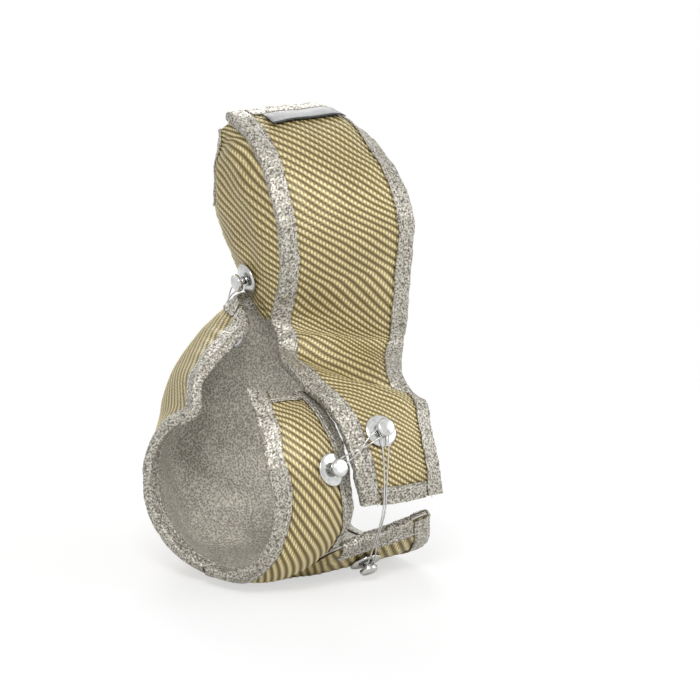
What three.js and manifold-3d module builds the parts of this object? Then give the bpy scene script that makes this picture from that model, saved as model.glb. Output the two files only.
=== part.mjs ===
// A fitted heat blanket for a turbocharger's turbine housing, in millimetres, +Z up.
// X runs along the turbine shaft, from the exhaust outlet towards the bearing housing.
// +Y is the side of the exhaust inlet. The origin is on the flat underside, below the shaft.
// Every quilted panel has three layers: a woven face, a fibre core and a knitted-wire liner.
import * as THREE from "three";
import { mergeVertices } from "three/addons/utils/BufferGeometryUtils.js";
import Module from "manifold-3d";

const wasm = await Module();
wasm.setup();

// Layers of a quilted panel
const faceThickness = 1.0;
const linerThickness = 0.8;
const coreMiddle = 4.4; // fibre core away from the seams
const coreEdge = 0.8; // fibre core where the stitching squeezes it
const layerGap = 0.3;
const pinchWidth = 17; // the padding rises over this distance from an edge

// Knitted-wire binding folded round each edge
const bindingWidth = 8.5;
const bindingThickness = 0.9;
const bindingGap = 0.3;
const endClearance = 1.3; // between the end of one binding and the next

// Turbine scroll and exhaust outlet under the blanket, to the middle of the padding
const shaftHeight = 50;
const frontRadius = 48.4;
const bottomRadius = 47.5;
const backRadius = 70.5; // the scroll is widest where the gas comes in
const shaftSideDrop = 3.5; // the scroll is this much smaller beside the bearing housing
const neckDrop = 1.5; // and this much smaller where the outlet's neck begins
const outletX = -61; // centre of the outlet opening
const outletRadius = 45.5;
const outletTurn = 25.5; // degrees the outlet turns towards the front
const neckRadius = 41.5; // the opening is tighter below and behind
const neckSetBack = 8; // and its edge lies further in there
const seamX = -4; // front edge of the outlet panel
const shaftSideX = 56; // edge of the belly panel beside the bearing housing
const hemAngle = -2; // hem of the flap
const bellyEdgeAngle = -19; // front edge of the belly panel
const seamAngle = -31; // where the seam between outlet and belly panel reaches the front

// Hood over the inlet duct
const hoodWidth = 65;
const hoodBackY = 72;
const hoodTopZ = 228;
const hoodTopDrop = 8; // the right side of the hood is this much lower
const leftShoulderDepth = 52.8;
const leftShoulderRise = 66.6;
const rightShoulderDepth = 74;
const rightShoulderRise = 43;
const shoulderPower = 1.7; // 2 is an ellipse, less is flatter
const cheekInset = 3; // the side walls stand this far in from the cover's edges
const cheekCrown = 6;
const openingLean = 9; // the inlet opening reaches this far behind the cover
const openingHeight = 50;
const openingLip = 9; // the side walls stop this far below the top of the cover
const throatY = 39.5; // lower end of the duct's back wall
const throatZ = 127;
const backWallSag = 3;
const lapHeight = 0.3; // the belly panel climbs this share of the back wall

// Lacing anchors: a capped post through the panel, held by a washer on each side
const fitGap = 0.3;
const washerRadius = 8.4;
const washerThickness = 0.8;
const washerDome = 1.2;
const washerLift = 0.9; // the flat rim clears the curved cloth
const postRadius = 1.9;
const capRadius = 4.7;
const capHeight = 2.6;
const capBevel = 0.9;
const neckLength = 3.2; // between washer and cap, where the wires are wound
const innerWasherRadius = 5.5;
const innerWasherThickness = 0.8;
const innerWasherLift = 0.9;
const peenRadius = 3; // riveted end of the post
const peenThickness = 0.8;
const anchorSides = 12;
const wireRadius = 0.45;
const wireSides = 6; // an even number

// Label tab on the top of the hood
const labelLength = 40;
const labelWidth = 13;
const labelThickness = 0.9;
const labelLift = 0.45;

const { degToRad, clamp, lerp, smoothstep } = THREE.MathUtils;
const vector = (x, y, z) => new THREE.Vector3(x, y, z);

// A point on the scroll: angle 0 faces the front, 90 is up and -90 is down.
function onScroll(x, radius, angle) {
  const a = degToRad(angle);
  return vector(x, -radius * Math.cos(a), shaftHeight + radius * Math.sin(a));
}

// The scroll's radius at an angle from the front, round the bottom, to the back.
function scrollRadius(angle) {
  const toBottom = smoothstep(-angle, 10, 80);
  const toBack = smoothstep(-angle, 80, 165);
  return frontRadius + (bottomRadius - frontRadius) * toBottom + (backRadius - bottomRadius) * toBack;
}

// A point on the edge of the outlet opening, which is turned about the vertical.
function onOutlet(angle) {
  const a = degToRad(angle);
  const turn = degToRad(outletTurn);
  const behind = smoothstep(-angle, 40, 115);
  const radius = lerp(outletRadius, neckRadius, behind);
  const across = radius * Math.cos(a);
  return vector(
    outletX + neckSetBack * behind + across * Math.sin(turn),
    -across * Math.cos(turn),
    shaftHeight + radius * Math.sin(a),
  );
}

// Thickness of all three layers where the core is this thick
const stack = (core) => faceThickness + linerThickness + core + 2 * layerGap;
const bindingReach = bindingGap + bindingThickness;
const flapRadius = frontRadius + stack(coreMiddle) + bindingReach + 2 * fitGap;

// The shoulder of the hood on one side, from the inlet over to the front
function shoulder(x, topZ, depth, rise, turn) {
  const a = degToRad(turn);
  return vector(
    x,
    hoodBackY - depth * Math.pow(Math.sin(a), 2 / shoulderPower),
    topZ - rise + rise * Math.pow(Math.max(Math.cos(a), 0), 2 / shoulderPower),
  );
}

const rail = (points) => new THREE.CatmullRomCurve3(points, false, "centripetal");

// A value read from a list of evenly spaced values, with t from 0 to 1
function along(values, t) {
  const place = clamp(t, 0, 1) * (values.length - 1);
  const i = Math.min(Math.floor(place), values.length - 2);
  return lerp(values[i], values[i + 1], smoothstep(place - i, 0, 1));
}

// The unit direction square to an edge, on the side that a second direction points to
function squareTo(edge, towards) {
  const along = edge.clone().normalize();
  return towards.clone().addScaledVector(along, -towards.dot(along)).normalize();
}

// A panel is the surface across two or more rails, crowned outwards between them.
// out is 1 or -1, to make the surface's normal point outwards. With straightEnd the panel runs
// straight between the last two rails, and keepU is the mesh line where that stretch begins.
function makePanel({ rails, crown, out, crossCells, rows, straightEnd, keepU }) {
  const across = (u, v) => {
    const points = rails.map((r) => r.getPoint(v));
    if (points.length === 2) return points[0].lerp(points[1], u);
    if (!straightEnd) return rail(points).getPoint(u);
    const last = points.pop();
    if (u > keepU) return points.at(-1).lerp(last, (u - keepU) / (1 - keepU));
    return rail(points).getPoint(u / keepU);
  };
  const step = 0.002;
  const slope = (at, u, v) => {
    const u0 = clamp(u, step, 1 - step);
    const v0 = clamp(v, step, 1 - step);
    return {
      du: at(u0 + step, v0).sub(at(u0 - step, v0)).divideScalar(2 * step),
      dv: at(u0, v0 + step).sub(at(u0, v0 - step)).divideScalar(2 * step),
    };
  };
  const normalOf = (at, u, v) => {
    const { du, dv } = slope(at, u, v);
    return du.cross(dv).normalize().multiplyScalar(out);
  };
  const at = (u, v) => {
    const lift = along(crown, v) * 4 * u * (1 - u);
    return across(u, v).addScaledVector(normalOf(across, u, v), lift);
  };
  const facing = (u, v) => normalOf(at, u, v);
  const speedU = (u, v) => slope(across, u, v).du.length();
  const speedV = (v) => slope(across, 0.5, v).dv.length();
  const start = speedV(0);
  const end = speedV(1);
  const edgeStart = bindingWidth / start;
  const edgeEnd = 1 - bindingWidth / end;
  const vLines = [0, edgeStart];
  for (let i = 1; i < rows; i++) {
    const v = i / rows;
    if (v > edgeStart * 1.3 && 1 - v > (1 - edgeEnd) * 1.3) vLines.push(v);
  }
  vLines.push(edgeEnd, 1);
  const uLines = (v) => {
    const near = Math.min(bindingWidth / speedU(0, v), 0.3);
    const far = 1 - Math.min(bindingWidth / speedU(1, v), 0.3);
    const lines = [0];
    for (let i = 0; i <= crossCells; i++) {
      const u = lerp(near, far, i / crossCells);
      lines.push(Math.abs(u - keepU) < 0.5 / crossCells ? keepU : u);
    }
    return [...lines, 1];
  };
  const fromEdge = (u, v) =>
    Math.min(u * speedU(0, v), (1 - u) * speedU(1, v), v * start, (1 - v) * end);
  const core = (u, v) => lerp(coreEdge, coreMiddle, smoothstep(fromEdge(u, v), 0, pinchWidth));
  // A point at a depth below the woven face, or past the nearest edge of the panel
  const place = (u, v, depth, pastU = 0, pastV = 0) => {
    const p = at(u, v).addScaledVector(facing(u, v), stack(core(u, v)) / 2 - depth);
    const { du, dv } = slope(at, u, v);
    p.addScaledVector(squareTo(dv, du), pastU);
    p.addScaledVector(squareTo(du, dv), pastV);
    const lift = 1 - smoothstep(fromEdge(u, v), bindingWidth, bindingWidth + pinchWidth);
    p.z = Math.max(p.z, depth + bindingReach * lift);
    return p;
  };
  return { at, place, core, uLines, vLines, facing, slope, speedU, speedV };
}

function geometryFrom(points, index) {
  let volume = 0;
  for (let i = 0; i < index.length; i += 3) {
    const [a, b, c] = [0, 1, 2].map((k) => points[index[i + k]]);
    volume += a.dot(b.clone().cross(c));
  }
  const g = new THREE.BufferGeometry().setFromPoints(points);
  g.setIndex(volume < 0 ? [...index].reverse() : index);
  return g;
}

// One layer over part of a panel, between two depths below its face
function layer(panel, from, to, rows = panel.vLines.map((v) => panel.uLines(v).map((u) => [u, v]))) {
  const n = rows[0].length;
  const m = rows.length;
  const points = [];
  for (const depth of [from, to])
    for (const row of rows) for (const [u, v] of row) points.push(panel.place(u, v, depth(u, v)));
  const at = (side, i, j) => side * n * m + i * n + j;
  const index = [];
  const quad = (a, b, c, d) => index.push(a, b, c, a, c, d);
  for (let i = 0; i + 1 < m; i++)
    for (let j = 0; j + 1 < n; j++) {
      quad(at(0, i, j), at(0, i, j + 1), at(0, i + 1, j + 1), at(0, i + 1, j));
      quad(at(1, i, j), at(1, i + 1, j), at(1, i + 1, j + 1), at(1, i, j + 1));
    }
  for (let i = 0; i + 1 < m; i++) {
    quad(at(0, i, 0), at(0, i + 1, 0), at(1, i + 1, 0), at(1, i, 0));
    quad(at(0, i + 1, n - 1), at(0, i, n - 1), at(1, i, n - 1), at(1, i + 1, n - 1));
  }
  for (let j = 0; j + 1 < n; j++) {
    quad(at(0, 0, j + 1), at(0, 0, j), at(1, 0, j), at(1, 0, j + 1));
    quad(at(0, m - 1, j), at(0, m - 1, j + 1), at(1, m - 1, j + 1), at(1, m - 1, j));
  }
  return geometryFrom(points, index);
}

// The folded section of a binding: two legs and the fold past the panel's edge.
// atInset and atEdge give points by depth, atEdge also by the distance past the edge.
function bindingSection(atInset, atEdge, insetDeep, edgeDeep) {
  return [
    atInset(-bindingReach),
    atEdge(-bindingReach, bindingReach),
    atEdge(edgeDeep + bindingReach, bindingReach),
    atInset(insetDeep + bindingReach),
    atInset(insetDeep + bindingGap),
    atEdge(edgeDeep + bindingGap, bindingGap),
    atEdge(-bindingGap, bindingGap),
    atInset(-bindingGap),
  ];
}

// A binding from its sections. Its facets are split the same way as the panel's below them.
function bindingFrom(sections, atFarEdge) {
  const n = 8;
  const index = [];
  const split = atFarEdge ? [2, 6] : [0, 4];
  for (let i = 0; i + 1 < sections.length; i++)
    for (let j = 0; j < n; j++) {
      const a = i * n + j;
      const b = i * n + ((j + 1) % n);
      if (split.includes(j)) index.push(a, b, a + n, b, b + n, a + n);
      else index.push(a, b, b + n, a, b + n, a + n);
    }
  const corners = [[0, 7, 6], [0, 6, 1], [1, 6, 5], [1, 5, 2], [2, 5, 4], [2, 4, 3]];
  const last = (sections.length - 1) * n;
  for (const [a, b, c] of corners) {
    index.push(a, b, c);
    index.push(last + c, last + b, last + a);
  }
  return geometryFrom(sections.flat(), index);
}

// Binding along one side of a panel, 0 for the left rail and 1 for the right.
// shortStart and shortEnd are how far it stops before the panel's ends.
function sideBinding(panel, side, { to = 1, shortStart = 0, shortEnd = 0 } = {}) {
  const lines = panel.vLines.filter((v) => v <= to);
  lines[0] += (shortStart / bindingWidth) * panel.vLines[1];
  lines[lines.length - 1] -= (shortEnd / bindingWidth) * (1 - panel.vLines.at(-2));
  const sections = lines.map((v) => {
    const us = panel.uLines(v);
    const inset = side ? us[us.length - 2] : us[1];
    const sign = side ? 1 : -1;
    return bindingSection(
      (depth) => panel.place(inset, v, depth),
      (depth, past) => panel.place(side, v, depth, sign * past),
      stack(panel.core(inset, v)),
      stack(panel.core(side, v)),
    );
  });
  return bindingFrom(sections, side);
}

// Binding along one end of a panel, endClearance short of the side bindings or the seam, from a place across it, up to the side bindings if any
function endBinding(panel, end, leftBound, rightBound, fromU = 0) {
  const inset = end ? panel.vLines[panel.vLines.length - 2] : panel.vLines[1];
  const sign = end ? 1 : -1;
  const count = panel.uLines(end).length;
  const first = leftBound ? 1 : panel.uLines(end).findIndex((u) => u >= fromU);
  const last = rightBound ? count - 2 : count - 1;
  const sections = [];
  for (let j = first; j <= last; j++) {
    const uAt = (v) => {
      const clear = endClearance / panel.speedU(j === first ? 0 : 1, v);
      if (j === first && (leftBound || fromU)) return panel.uLines(v)[j] + clear;
      if (j === last && rightBound) return panel.uLines(v)[j] - clear;
      return panel.uLines(v)[j];
    };
    const u0 = uAt(inset);
    const u1 = uAt(end);
    sections.push(
      bindingSection(
        (depth) => panel.place(u0, inset, depth),
        (depth, past) => panel.place(u1, end, depth, 0, sign * past),
        stack(panel.core(u0, inset)),
        stack(panel.core(u1, end)),
      ),
    );
  }
  return bindingFrom(sections, end);
}

// Cover: the long band over the hood, down its front and over the scroll as a flap
const leftFrontY = hoodBackY - leftShoulderDepth;
const rightFrontY = hoodBackY - rightShoulderDepth;
const rightTopZ = hoodTopZ - hoodTopDrop;
const leftFrontZ = hoodTopZ - leftShoulderRise;
const rightFrontZ = rightTopZ - rightShoulderRise;
const scrollTop = shaftHeight + frontRadius;
const turns = [0, 28, 50, 70, 90];
const coverSpans = 14;
const coverRails = [
  rail([
    ...turns.map((t) => shoulder(0, hoodTopZ, leftShoulderDepth, leftShoulderRise, t)),
    vector(0, leftFrontY + 2.5, leftFrontZ - 17),
    vector(0, leftFrontY + 9, scrollTop + 29),
    vector(0, leftFrontY + 3, scrollTop + 19),
    vector(-7, leftFrontY - 12, scrollTop + 12),
    onScroll(-11, flapRadius, 74),
    onScroll(-8, flapRadius, 57),
    onScroll(-5.5, flapRadius, 42),
    onScroll(-4, flapRadius, 28),
    onScroll(-3, flapRadius, 13),
    onScroll(0, flapRadius, hemAngle),
  ]),
  rail([
    ...turns.map((t) => shoulder(hoodWidth, rightTopZ, rightShoulderDepth, rightShoulderRise, t)),
    vector(hoodWidth, rightFrontY + 2, rightFrontZ - 20),
    vector(hoodWidth, rightFrontY + 5, scrollTop + 32),
    vector(hoodWidth, rightFrontY + 9, scrollTop + 14),
    vector(hoodWidth - 10, rightFrontY - 4, scrollTop + 5),
    onScroll(hoodWidth - 21, flapRadius - 2, 60),
    onScroll(hoodWidth - 17, flapRadius, 47),
    onScroll(hoodWidth - 20, flapRadius, 35),
    onScroll(hoodWidth - 21.5, flapRadius, 23),
    onScroll(hoodWidth - 20.5, flapRadius, 11),
    onScroll(hoodWidth - 19.5, flapRadius, hemAngle),
  ]),
];
const cover = makePanel({
  rails: coverRails,
  crown: [5, 5, 4, 4, 3.5, 3, 3, 2, 0, 0, 2, 3, 3, 2, 1],
  out: -1,
  crossCells: 4,
  rows: 22,
});

// Side walls of the hood and the wall under the inlet opening
const openingBottomY = hoodBackY + openingLean + 5;
const openingBottomZ = hoodTopZ - openingHeight - 2;
const wallRun = Math.hypot(openingBottomY - throatY, openingBottomZ - throatZ);
const wallNormal = vector(
  0,
  (openingBottomZ - throatZ) / wallRun,
  -(openingBottomY - throatY) / wallRun,
);
// A point on the back wall: t is 0 at the throat and 1 at the opening.
function onBackWall(x, t, offset) {
  const p = vector(x, lerp(throatY, openingBottomY, t), lerp(throatZ, openingBottomZ, t));
  return p.addScaledVector(wallNormal, backWallSag * 4 * t * (1 - t) + offset);
}

const edgeHalf = stack(coreEdge) / 2;
const cheekDrop = edgeHalf + bindingReach + 7 * fitGap;
function makeCheek(side) {
  const x = side ? hoodWidth - cheekInset : cheekInset;
  const topZ = side ? rightTopZ : hoodTopZ;
  const front = [0, 0.5, 1, 2, 3, 4, 5, 6].map((i) => {
    const v = i / coverSpans;
    return cover.at(side, v).addScaledVector(cover.facing(side, v), -cheekDrop).setX(x);
  });
  const openingTop = topZ - openingLip;
  const rear = [
    vector(x, hoodBackY + openingLean, openingTop),
    vector(x, hoodBackY + openingLean + 2.5, lerp(openingTop, openingBottomZ, 0.25)),
    vector(x, hoodBackY + openingLean + 4, lerp(openingTop, openingBottomZ, 0.55)),
    onBackWall(x, 1, edgeHalf),
    onBackWall(x, 0.75, edgeHalf),
    onBackWall(x, 0.5, edgeHalf),
    onBackWall(x, 0.25, edgeHalf),
    onBackWall(x, 0, edgeHalf),
  ];
  return makePanel({
    rails: [rail(rear), rail(front)],
    crown: [0.5, 2, cheekCrown, cheekCrown, cheekCrown, 4, 2, 0.5],
    out: side ? 1 : -1,
    crossCells: 3,
    rows: 10,
  });
}
const leftCheek = makeCheek(0);
const rightCheek = makeCheek(1);

const wallInset = cheekInset + edgeHalf + fitGap * 1.4;
const wallSteps = [1, 0.75, 0.5, 0.25, 0];
const backWall = makePanel({
  rails: [wallInset, hoodWidth - wallInset].map((x) =>
    rail(wallSteps.map((t) => onBackWall(x, t, 0))),
  ),
  crown: [0, 0],
  out: 1,
  crossCells: 3,
  rows: 6,
});

// Outlet panel: wraps the front of the neck between the outlet and the scroll
const outletPanel = makePanel({
  rails: [
    rail([
      vector(outletX + 21.5, -10, shaftHeight + 53),
      vector(outletX + 20, -20, shaftHeight + 43.5),
      vector(outletX + 19.5, -28.5, shaftHeight + 34),
      ...[28, 5, -20, -45, -70, -97].map(onOutlet),
    ]),
    rail([
      ...[74, 62, 50, 33, 14, -7, -28].map((a) => onScroll(seamX - 20, frontRadius + 1.5, a)),
      onScroll(seamX - 24, frontRadius, -50),
      onScroll(seamX - 29, bottomRadius, -70),
    ]),
    rail([
      onScroll(seamX - 3, frontRadius, 74),
      onScroll(seamX - 2, frontRadius, 62),
      onScroll(seamX - 1, frontRadius, 50),
      onScroll(seamX, frontRadius, 36),
      onScroll(seamX, frontRadius, 20),
      onScroll(seamX, frontRadius, 5),
      onScroll(seamX + 1.5, frontRadius, -8),
      onScroll(seamX - 0.5, frontRadius, -20),
      onScroll(seamX - 2.5, frontRadius, seamAngle),
    ]),
  ],
  crown: [0.5, 1, 1, 1, 0.5, 0],
  out: -1,
  crossCells: 4,
  rows: 14,
});

// Belly panel: from the seam and the front edge under the scroll, up its back and over the neck
const seamGap = 2.2;
const lapOffset = stack(coreMiddle) / 2 + edgeHalf + bindingReach + 2 * fitGap;
const lap = onBackWall(0, lapHeight, lapOffset);
const onSeam = (u) => {
  const { du, dv } = outletPanel.slope(outletPanel.at, u, 1);
  return outletPanel.at(u, 1).addScaledVector(squareTo(du, dv), seamGap);
};
// Points round the scroll at one place along the shaft
const round = (x, drop, angles) => angles.map((a) => onScroll(x, scrollRadius(a) - drop(a), a));
const besideBearing = (a) => shaftSideDrop * smoothstep(a, -120, -90);
// The scroll's back climbs straight from the shaft's height to the lap on the back wall.
const onBack = (x, t) => vector(x, lerp(backRadius, lap.y, t), lerp(shaftHeight, lap.z, t));
const climb = (steps) => steps.map(([x, t]) => onBack(x, t));
const frontFrom = 2 / 3;
const belly = makePanel({
  rails: [
    rail([
      onSeam(0),
      ...[-120, -143, -165, -187, -208, -230, -254].map(onOutlet),
      vector(outletX + 8, 16, shaftHeight + 53),
      vector(outletX + 18, 22, shaftHeight + 60),
      vector(outletX + 28, 26.5, shaftHeight + 64.5),
      vector(outletX + 37, 30.5, shaftHeight + 68.7),
      vector(-15, 34, shaftHeight + 73),
      vector(-9, 38.5, shaftHeight + 77.5),
    ]),
    rail([
      onSeam(0.5),
      ...round(-35, () => neckDrop, [-91, -112, -134, -156]),
      ...climb([[-39, 0], [-40, 0.2], [-39, 0.38], [-35, 0.52], [-30, 0.63], [-24, 0.72]]),
      onBack(-17, 0.81).add(vector(0, -1, 0)),
      onBack(-10, 0.9).add(vector(0, -3, 0)),
      vector(-5, 54, lap.z - 1),
    ]),
    rail([
      onSeam(1),
      ...round(-4, () => 0, [-55, -80, -105, -130, -155]),
      ...climb([[-13, 0], [-14, 0.25], [-12, 0.44], [-8, 0.58], [-4, 0.7]]),
      ...climb([[1, 0.8], [6, 0.9], [12, 1]]),
    ]),
    rail([
      onScroll(shaftSideX - 10, frontRadius, bellyEdgeAngle),
      onScroll(shaftSideX - 4, frontRadius - 1, -42),
      ...round(shaftSideX, besideBearing, [-66, -90, -114, -140, -165]),
      ...climb([[56, 0.15], [57, 0.35], [58, 0.5], [59, 0.64], [60, 0.77], [60, 0.89], [60, 1]]),
    ]),
  ],
  crown: [0, 0],
  out: -1,
  crossCells: 6,
  rows: 24,
  straightEnd: true,
  keepU: frontFrom,
});

const finish = (color, roughness, metalness) => ({ color, roughness, metalness });
const finishes = {
  weave: finish(0xb09a5c, 0.45, 0.35),
  core: finish(0xf0eee6, 0.95, 0),
  liner: finish(0xb9b6ac, 0.6, 0.4),
  binding: finish(0xc9c6bd, 0.55, 0.4),
  steel: finish(0xd6d6d4, 0.3, 0.9),
  label: finish(0x1b1b1d, 0.7, 0),
};

const blanket = new THREE.Group();

function add(name, geometry, kind) {
  const mesh = new THREE.Mesh(geometry, new THREE.MeshStandardMaterial(finishes[kind]));
  mesh.name = name;
  blanket.add(mesh);
}

const coreTop = faceThickness + layerGap;
function layersOf(panel) {
  const { core } = panel;
  return {
    face: layer(panel, () => 0, () => faceThickness),
    core: layer(panel, () => coreTop, (u, v) => coreTop + core(u, v)),
    liner: layer(
      panel,
      (u, v) => coreTop + core(u, v) + layerGap,
      (u, v) => stack(core(u, v)),
    ),
  };
}

const panels = {
  cover,
  left_cheek: leftCheek,
  right_cheek: rightCheek,
  back_wall: backWall,
  outlet_panel: outletPanel,
  belly_panel: belly,
};
// Solids for cutting the pin holes
function solidOf(geometry) {
  const bare = geometry.clone();
  bare.deleteAttribute("normal");
  bare.deleteAttribute("uv");
  const merged = mergeVertices(bare, 1e-4);
  return new wasm.Manifold(
    new wasm.Mesh({
      numProp: 3,
      vertProperties: merged.attributes.position.array,
      triVerts: new Uint32Array(merged.index.array),
    }),
  );
}

function geometryOf(solid) {
  const { vertProperties, triVerts } = solid.getMesh();
  const g = new THREE.BufferGeometry();
  g.setAttribute("position", new THREE.BufferAttribute(new Float32Array(vertProperties), 3));
  g.setIndex(new THREE.BufferAttribute(new Uint32Array(triVerts), 1));
  return g;
}

const lathe = (profile) =>
  new THREE.LatheGeometry(
    profile.map(([r, z]) => new THREE.Vector2(r, z)),
    anchorSides,
  ).rotateX(Math.PI / 2);

// An anchor at one place of a panel. Heights are measured from the woven face, outwards.
// insideLift is the inner washer's distance from the liner where it bridges a curve or a binding.
const holeRadius = postRadius + fitGap;
function makeAnchor(panel, u, v, { neck = neckLength, insideLift = innerWasherLift } = {}) {
  const seat = panel.place(u, v, 0);
  const axis = panel.facing(u, v);
  const turn = new THREE.Quaternion().setFromUnitVectors(vector(0, 0, 1), axis);
  const seated = (g) => g.applyQuaternion(turn).translate(...seat);
  const inside = -stack(panel.core(u, v)) - insideLift;
  const washerTop = washerLift + washerDome + washerThickness;
  const capBottom = washerTop + neck;
  const capTop = capBottom + capHeight;
  const peenTop = inside - innerWasherThickness - fitGap;
  const shoulderRadius = washerRadius * 0.6;
  const dome = [
    [holeRadius, washerDome],
    [shoulderRadius, washerDome * 0.7],
    [washerRadius, 0],
  ];
  const under = dome.map(([r, z]) => [r, z + washerLift]);
  const over = dome.map(([r, z]) => [r, z + washerLift + washerThickness]).reverse();
  const washer = lathe([...under, ...over, under[0]]);
  const post = lathe([
    [0, peenTop - peenThickness],
    [peenRadius, peenTop - peenThickness],
    [peenRadius, peenTop],
    [postRadius, peenTop],
    [postRadius, capBottom],
    [capRadius, capBottom],
    [capRadius, capTop - capBevel],
    [capRadius - capBevel, capTop],
    [0, capTop],
  ]);
  const innerWasher = lathe([
    [holeRadius, inside - innerWasherThickness],
    [innerWasherRadius, inside - innerWasherThickness],
    [innerWasherRadius, inside],
    [holeRadius, inside],
    [holeRadius, inside - innerWasherThickness],
  ]);
  const holeLength = stack(coreMiddle) * 3;
  const hole = new THREE.CylinderGeometry(holeRadius, holeRadius, holeLength, anchorSides);
  return {
    panel,
    axis,
    hole: solidOf(seated(hole.rotateX(Math.PI / 2))),
    // The middle of the neck's upper or lower winding
    winding: (isLower) => {
      const below = wireRadius + fitGap + (isLower ? 2 * wireRadius + fitGap : 0);
      return seat.clone().addScaledVector(axis, capBottom - below);
    },
    pieces: {
      washer: seated(washer),
      post: seated(post),
      inner_washer: seated(innerWasher),
    },
  };
}

const anchors = {
  flap_anchor: makeAnchor(cover, 0.35, 0.825),
  outlet_anchor: makeAnchor(outletPanel, 0.7, 0.4825, { insideLift: 2.4 }),
  belly_anchor: makeAnchor(belly, 0.79, 0.075, { neck: 1.9 }),
  cheek_anchor: makeAnchor(leftCheek, 0.36, 0.78),
  neck_anchor: makeAnchor(belly, 0.6, 0.8, { insideLift: 1.6 }),
};

for (const [name, panel] of Object.entries(panels)) {
  const holes = Object.values(anchors).filter((a) => a.panel === panel);
  for (const [part, geometry] of Object.entries(layersOf(panel))) {
    const kind = part === "face" ? "weave" : part;
    if (!holes.length) add(`${name}_${part}`, geometry, kind);
    else {
      const cut = holes.reduce((solid, a) => solid.subtract(a.hole), solidOf(geometry));
      add(`${name}_${part}`, geometryOf(cut), kind);
    }
  }
}

const bindings = {
  cover_left: sideBinding(cover, 0),
  cover_right: sideBinding(cover, 1),
  cover_rear: endBinding(cover, 0, true, true),
  flap_hem: endBinding(cover, 1, true, true),
  left_cheek: sideBinding(leftCheek, 0, { to: 0.41 }),
  right_cheek: sideBinding(rightCheek, 0, { to: 0.41 }),
  back_wall: endBinding(backWall, 0, false, false),
  outlet_edge_front: sideBinding(outletPanel, 0, { shortEnd: endClearance }),
  outlet_panel_front: sideBinding(outletPanel, 1, { shortEnd: endClearance }),
  outlet_panel_top: endBinding(outletPanel, 0, true, true),
  outlet_edge_back: sideBinding(belly, 0, { shortStart: endClearance }),
  belly_shaft_side: sideBinding(belly, 1),
  belly_front: endBinding(belly, 0, false, true, frontFrom),
  belly_lap: endBinding(belly, 1, true, true),
};
for (const [name, geometry] of Object.entries(bindings)) add(`${name}_binding`, geometry, "binding");

for (const [name, anchor] of Object.entries(anchors))
  for (const [part, geometry] of Object.entries(anchor.pieces)) add(`${name}_${part}`, geometry, "steel");

// A wire loop round the necks of two anchors, with one strand on each side of the points on the
// way. spread is each strand's distance from such a point, less than 0 beyond a crossing, and
// rise lifts one strand over the other. fromLower takes the lower winding at the first anchor.
const wrapRadius = postRadius + fitGap + wireRadius;
const exitRadius = capRadius + wireRadius + 2 * fitGap;
const exitSpread = 2;
function wireLoop(from, to, fromLower, way, steps) {
  const start = from.winding(fromLower);
  const end = to.winding(false);
  const points = way(start, end);
  const centres = [start, ...points.map((p) => p.at), end];
  const about = (centre, axis, towards, forward, sideways) => {
    const ahead = squareTo(axis, towards);
    const side = axis.clone().cross(ahead);
    return centre.clone().addScaledVector(ahead, forward).addScaledVector(side, sideways);
  };
  const wrap = (centre, axis, towards, degrees) =>
    degrees.map((d) => {
      const a = degToRad(d);
      return about(centre, axis, towards, wrapRadius * Math.cos(a), wrapRadius * Math.sin(a));
    });
  const strand = (sign) =>
    points.map(({ at, spread, rise = 0 }, i) => {
      const run = centres[i + 2].clone().sub(centres[i]);
      const share = (i + 1) / (points.length + 1);
      const outward = squareTo(run, from.axis.clone().lerp(to.axis, share));
      const side = outward.clone().cross(run).normalize();
      return at.clone().addScaledVector(side, sign * spread).addScaledVector(outward, sign * rise);
    });
  const onward = centres[1].clone().sub(start);
  const back = centres.at(-2).clone().sub(end);
  const flip = points.at(-1).spread < 0 ? -1 : 1;
  const exit = (sign) => about(start, from.axis, onward, exitRadius, sign * exitSpread);
  const entry = (sign) => about(end, to.axis, back, exitRadius, -sign * flip * exitSpread);
  const path = rail([
    ...wrap(start, from.axis, onward, [165, 128, 90]),
    exit(1),
    ...strand(1),
    entry(1),
    ...wrap(end, to.axis, back, [-90, -135, 180, 135, 90].map((d) => d * flip)),
    entry(-1),
    ...strand(-1).reverse(),
    exit(-1),
    ...wrap(start, from.axis, onward, [-90, -128, -165]),
  ]);
  const section = new THREE.Shape().absarc(0, 0, wireRadius, 0, 2 * Math.PI);
  return new THREE.ExtrudeGeometry(section, {
    steps,
    curveSegments: wireSides / 2,
    extrudePath: path,
    bevelEnabled: false,
  });
}

// A point between two others, lifted away from the shaft
function liftedBetween(a, b, share, lift) {
  const p = a.clone().lerp(b, share);
  const outward = vector(0, p.y, p.z - shaftHeight).normalize();
  return p.addScaledVector(outward, lift);
}

const { flap_anchor, outlet_anchor, belly_anchor, cheek_anchor, neck_anchor } = anchors;
const wires = {
  flap_to_outlet: wireLoop(
    outlet_anchor,
    flap_anchor,
    false,
    (a, b) => [
      { at: liftedBetween(a, b, 0.42, 1.6), spread: 0.6, rise: 0.5 },
      { at: liftedBetween(a, b, 0.66, 0.8), spread: -1.3 },
    ],
    50,
  ),
  flap_to_belly: wireLoop(
    flap_anchor,
    belly_anchor,
    true,
    () => [
      { at: onScroll(9.1, flapRadius + 6.8, 8), spread: 0.65 },
      { at: onScroll(8.9, flapRadius + 5.4, -4.5), spread: 0.65 },
      { at: onScroll(11.5, frontRadius + 8, -24), spread: 0.65 },
    ],
    64,
  ),
  cheek_to_neck: wireLoop(
    cheek_anchor,
    neck_anchor,
    false,
    (a, b) => [
      { at: liftedBetween(a, b, 0.35, 4), spread: 1.5 },
      { at: liftedBetween(a, b, 0.65, 4), spread: 1.5 },
    ],
    44,
  ),
};
for (const [name, geometry] of Object.entries(wires)) add(`${name}_wire`, geometry, "steel");

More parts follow.
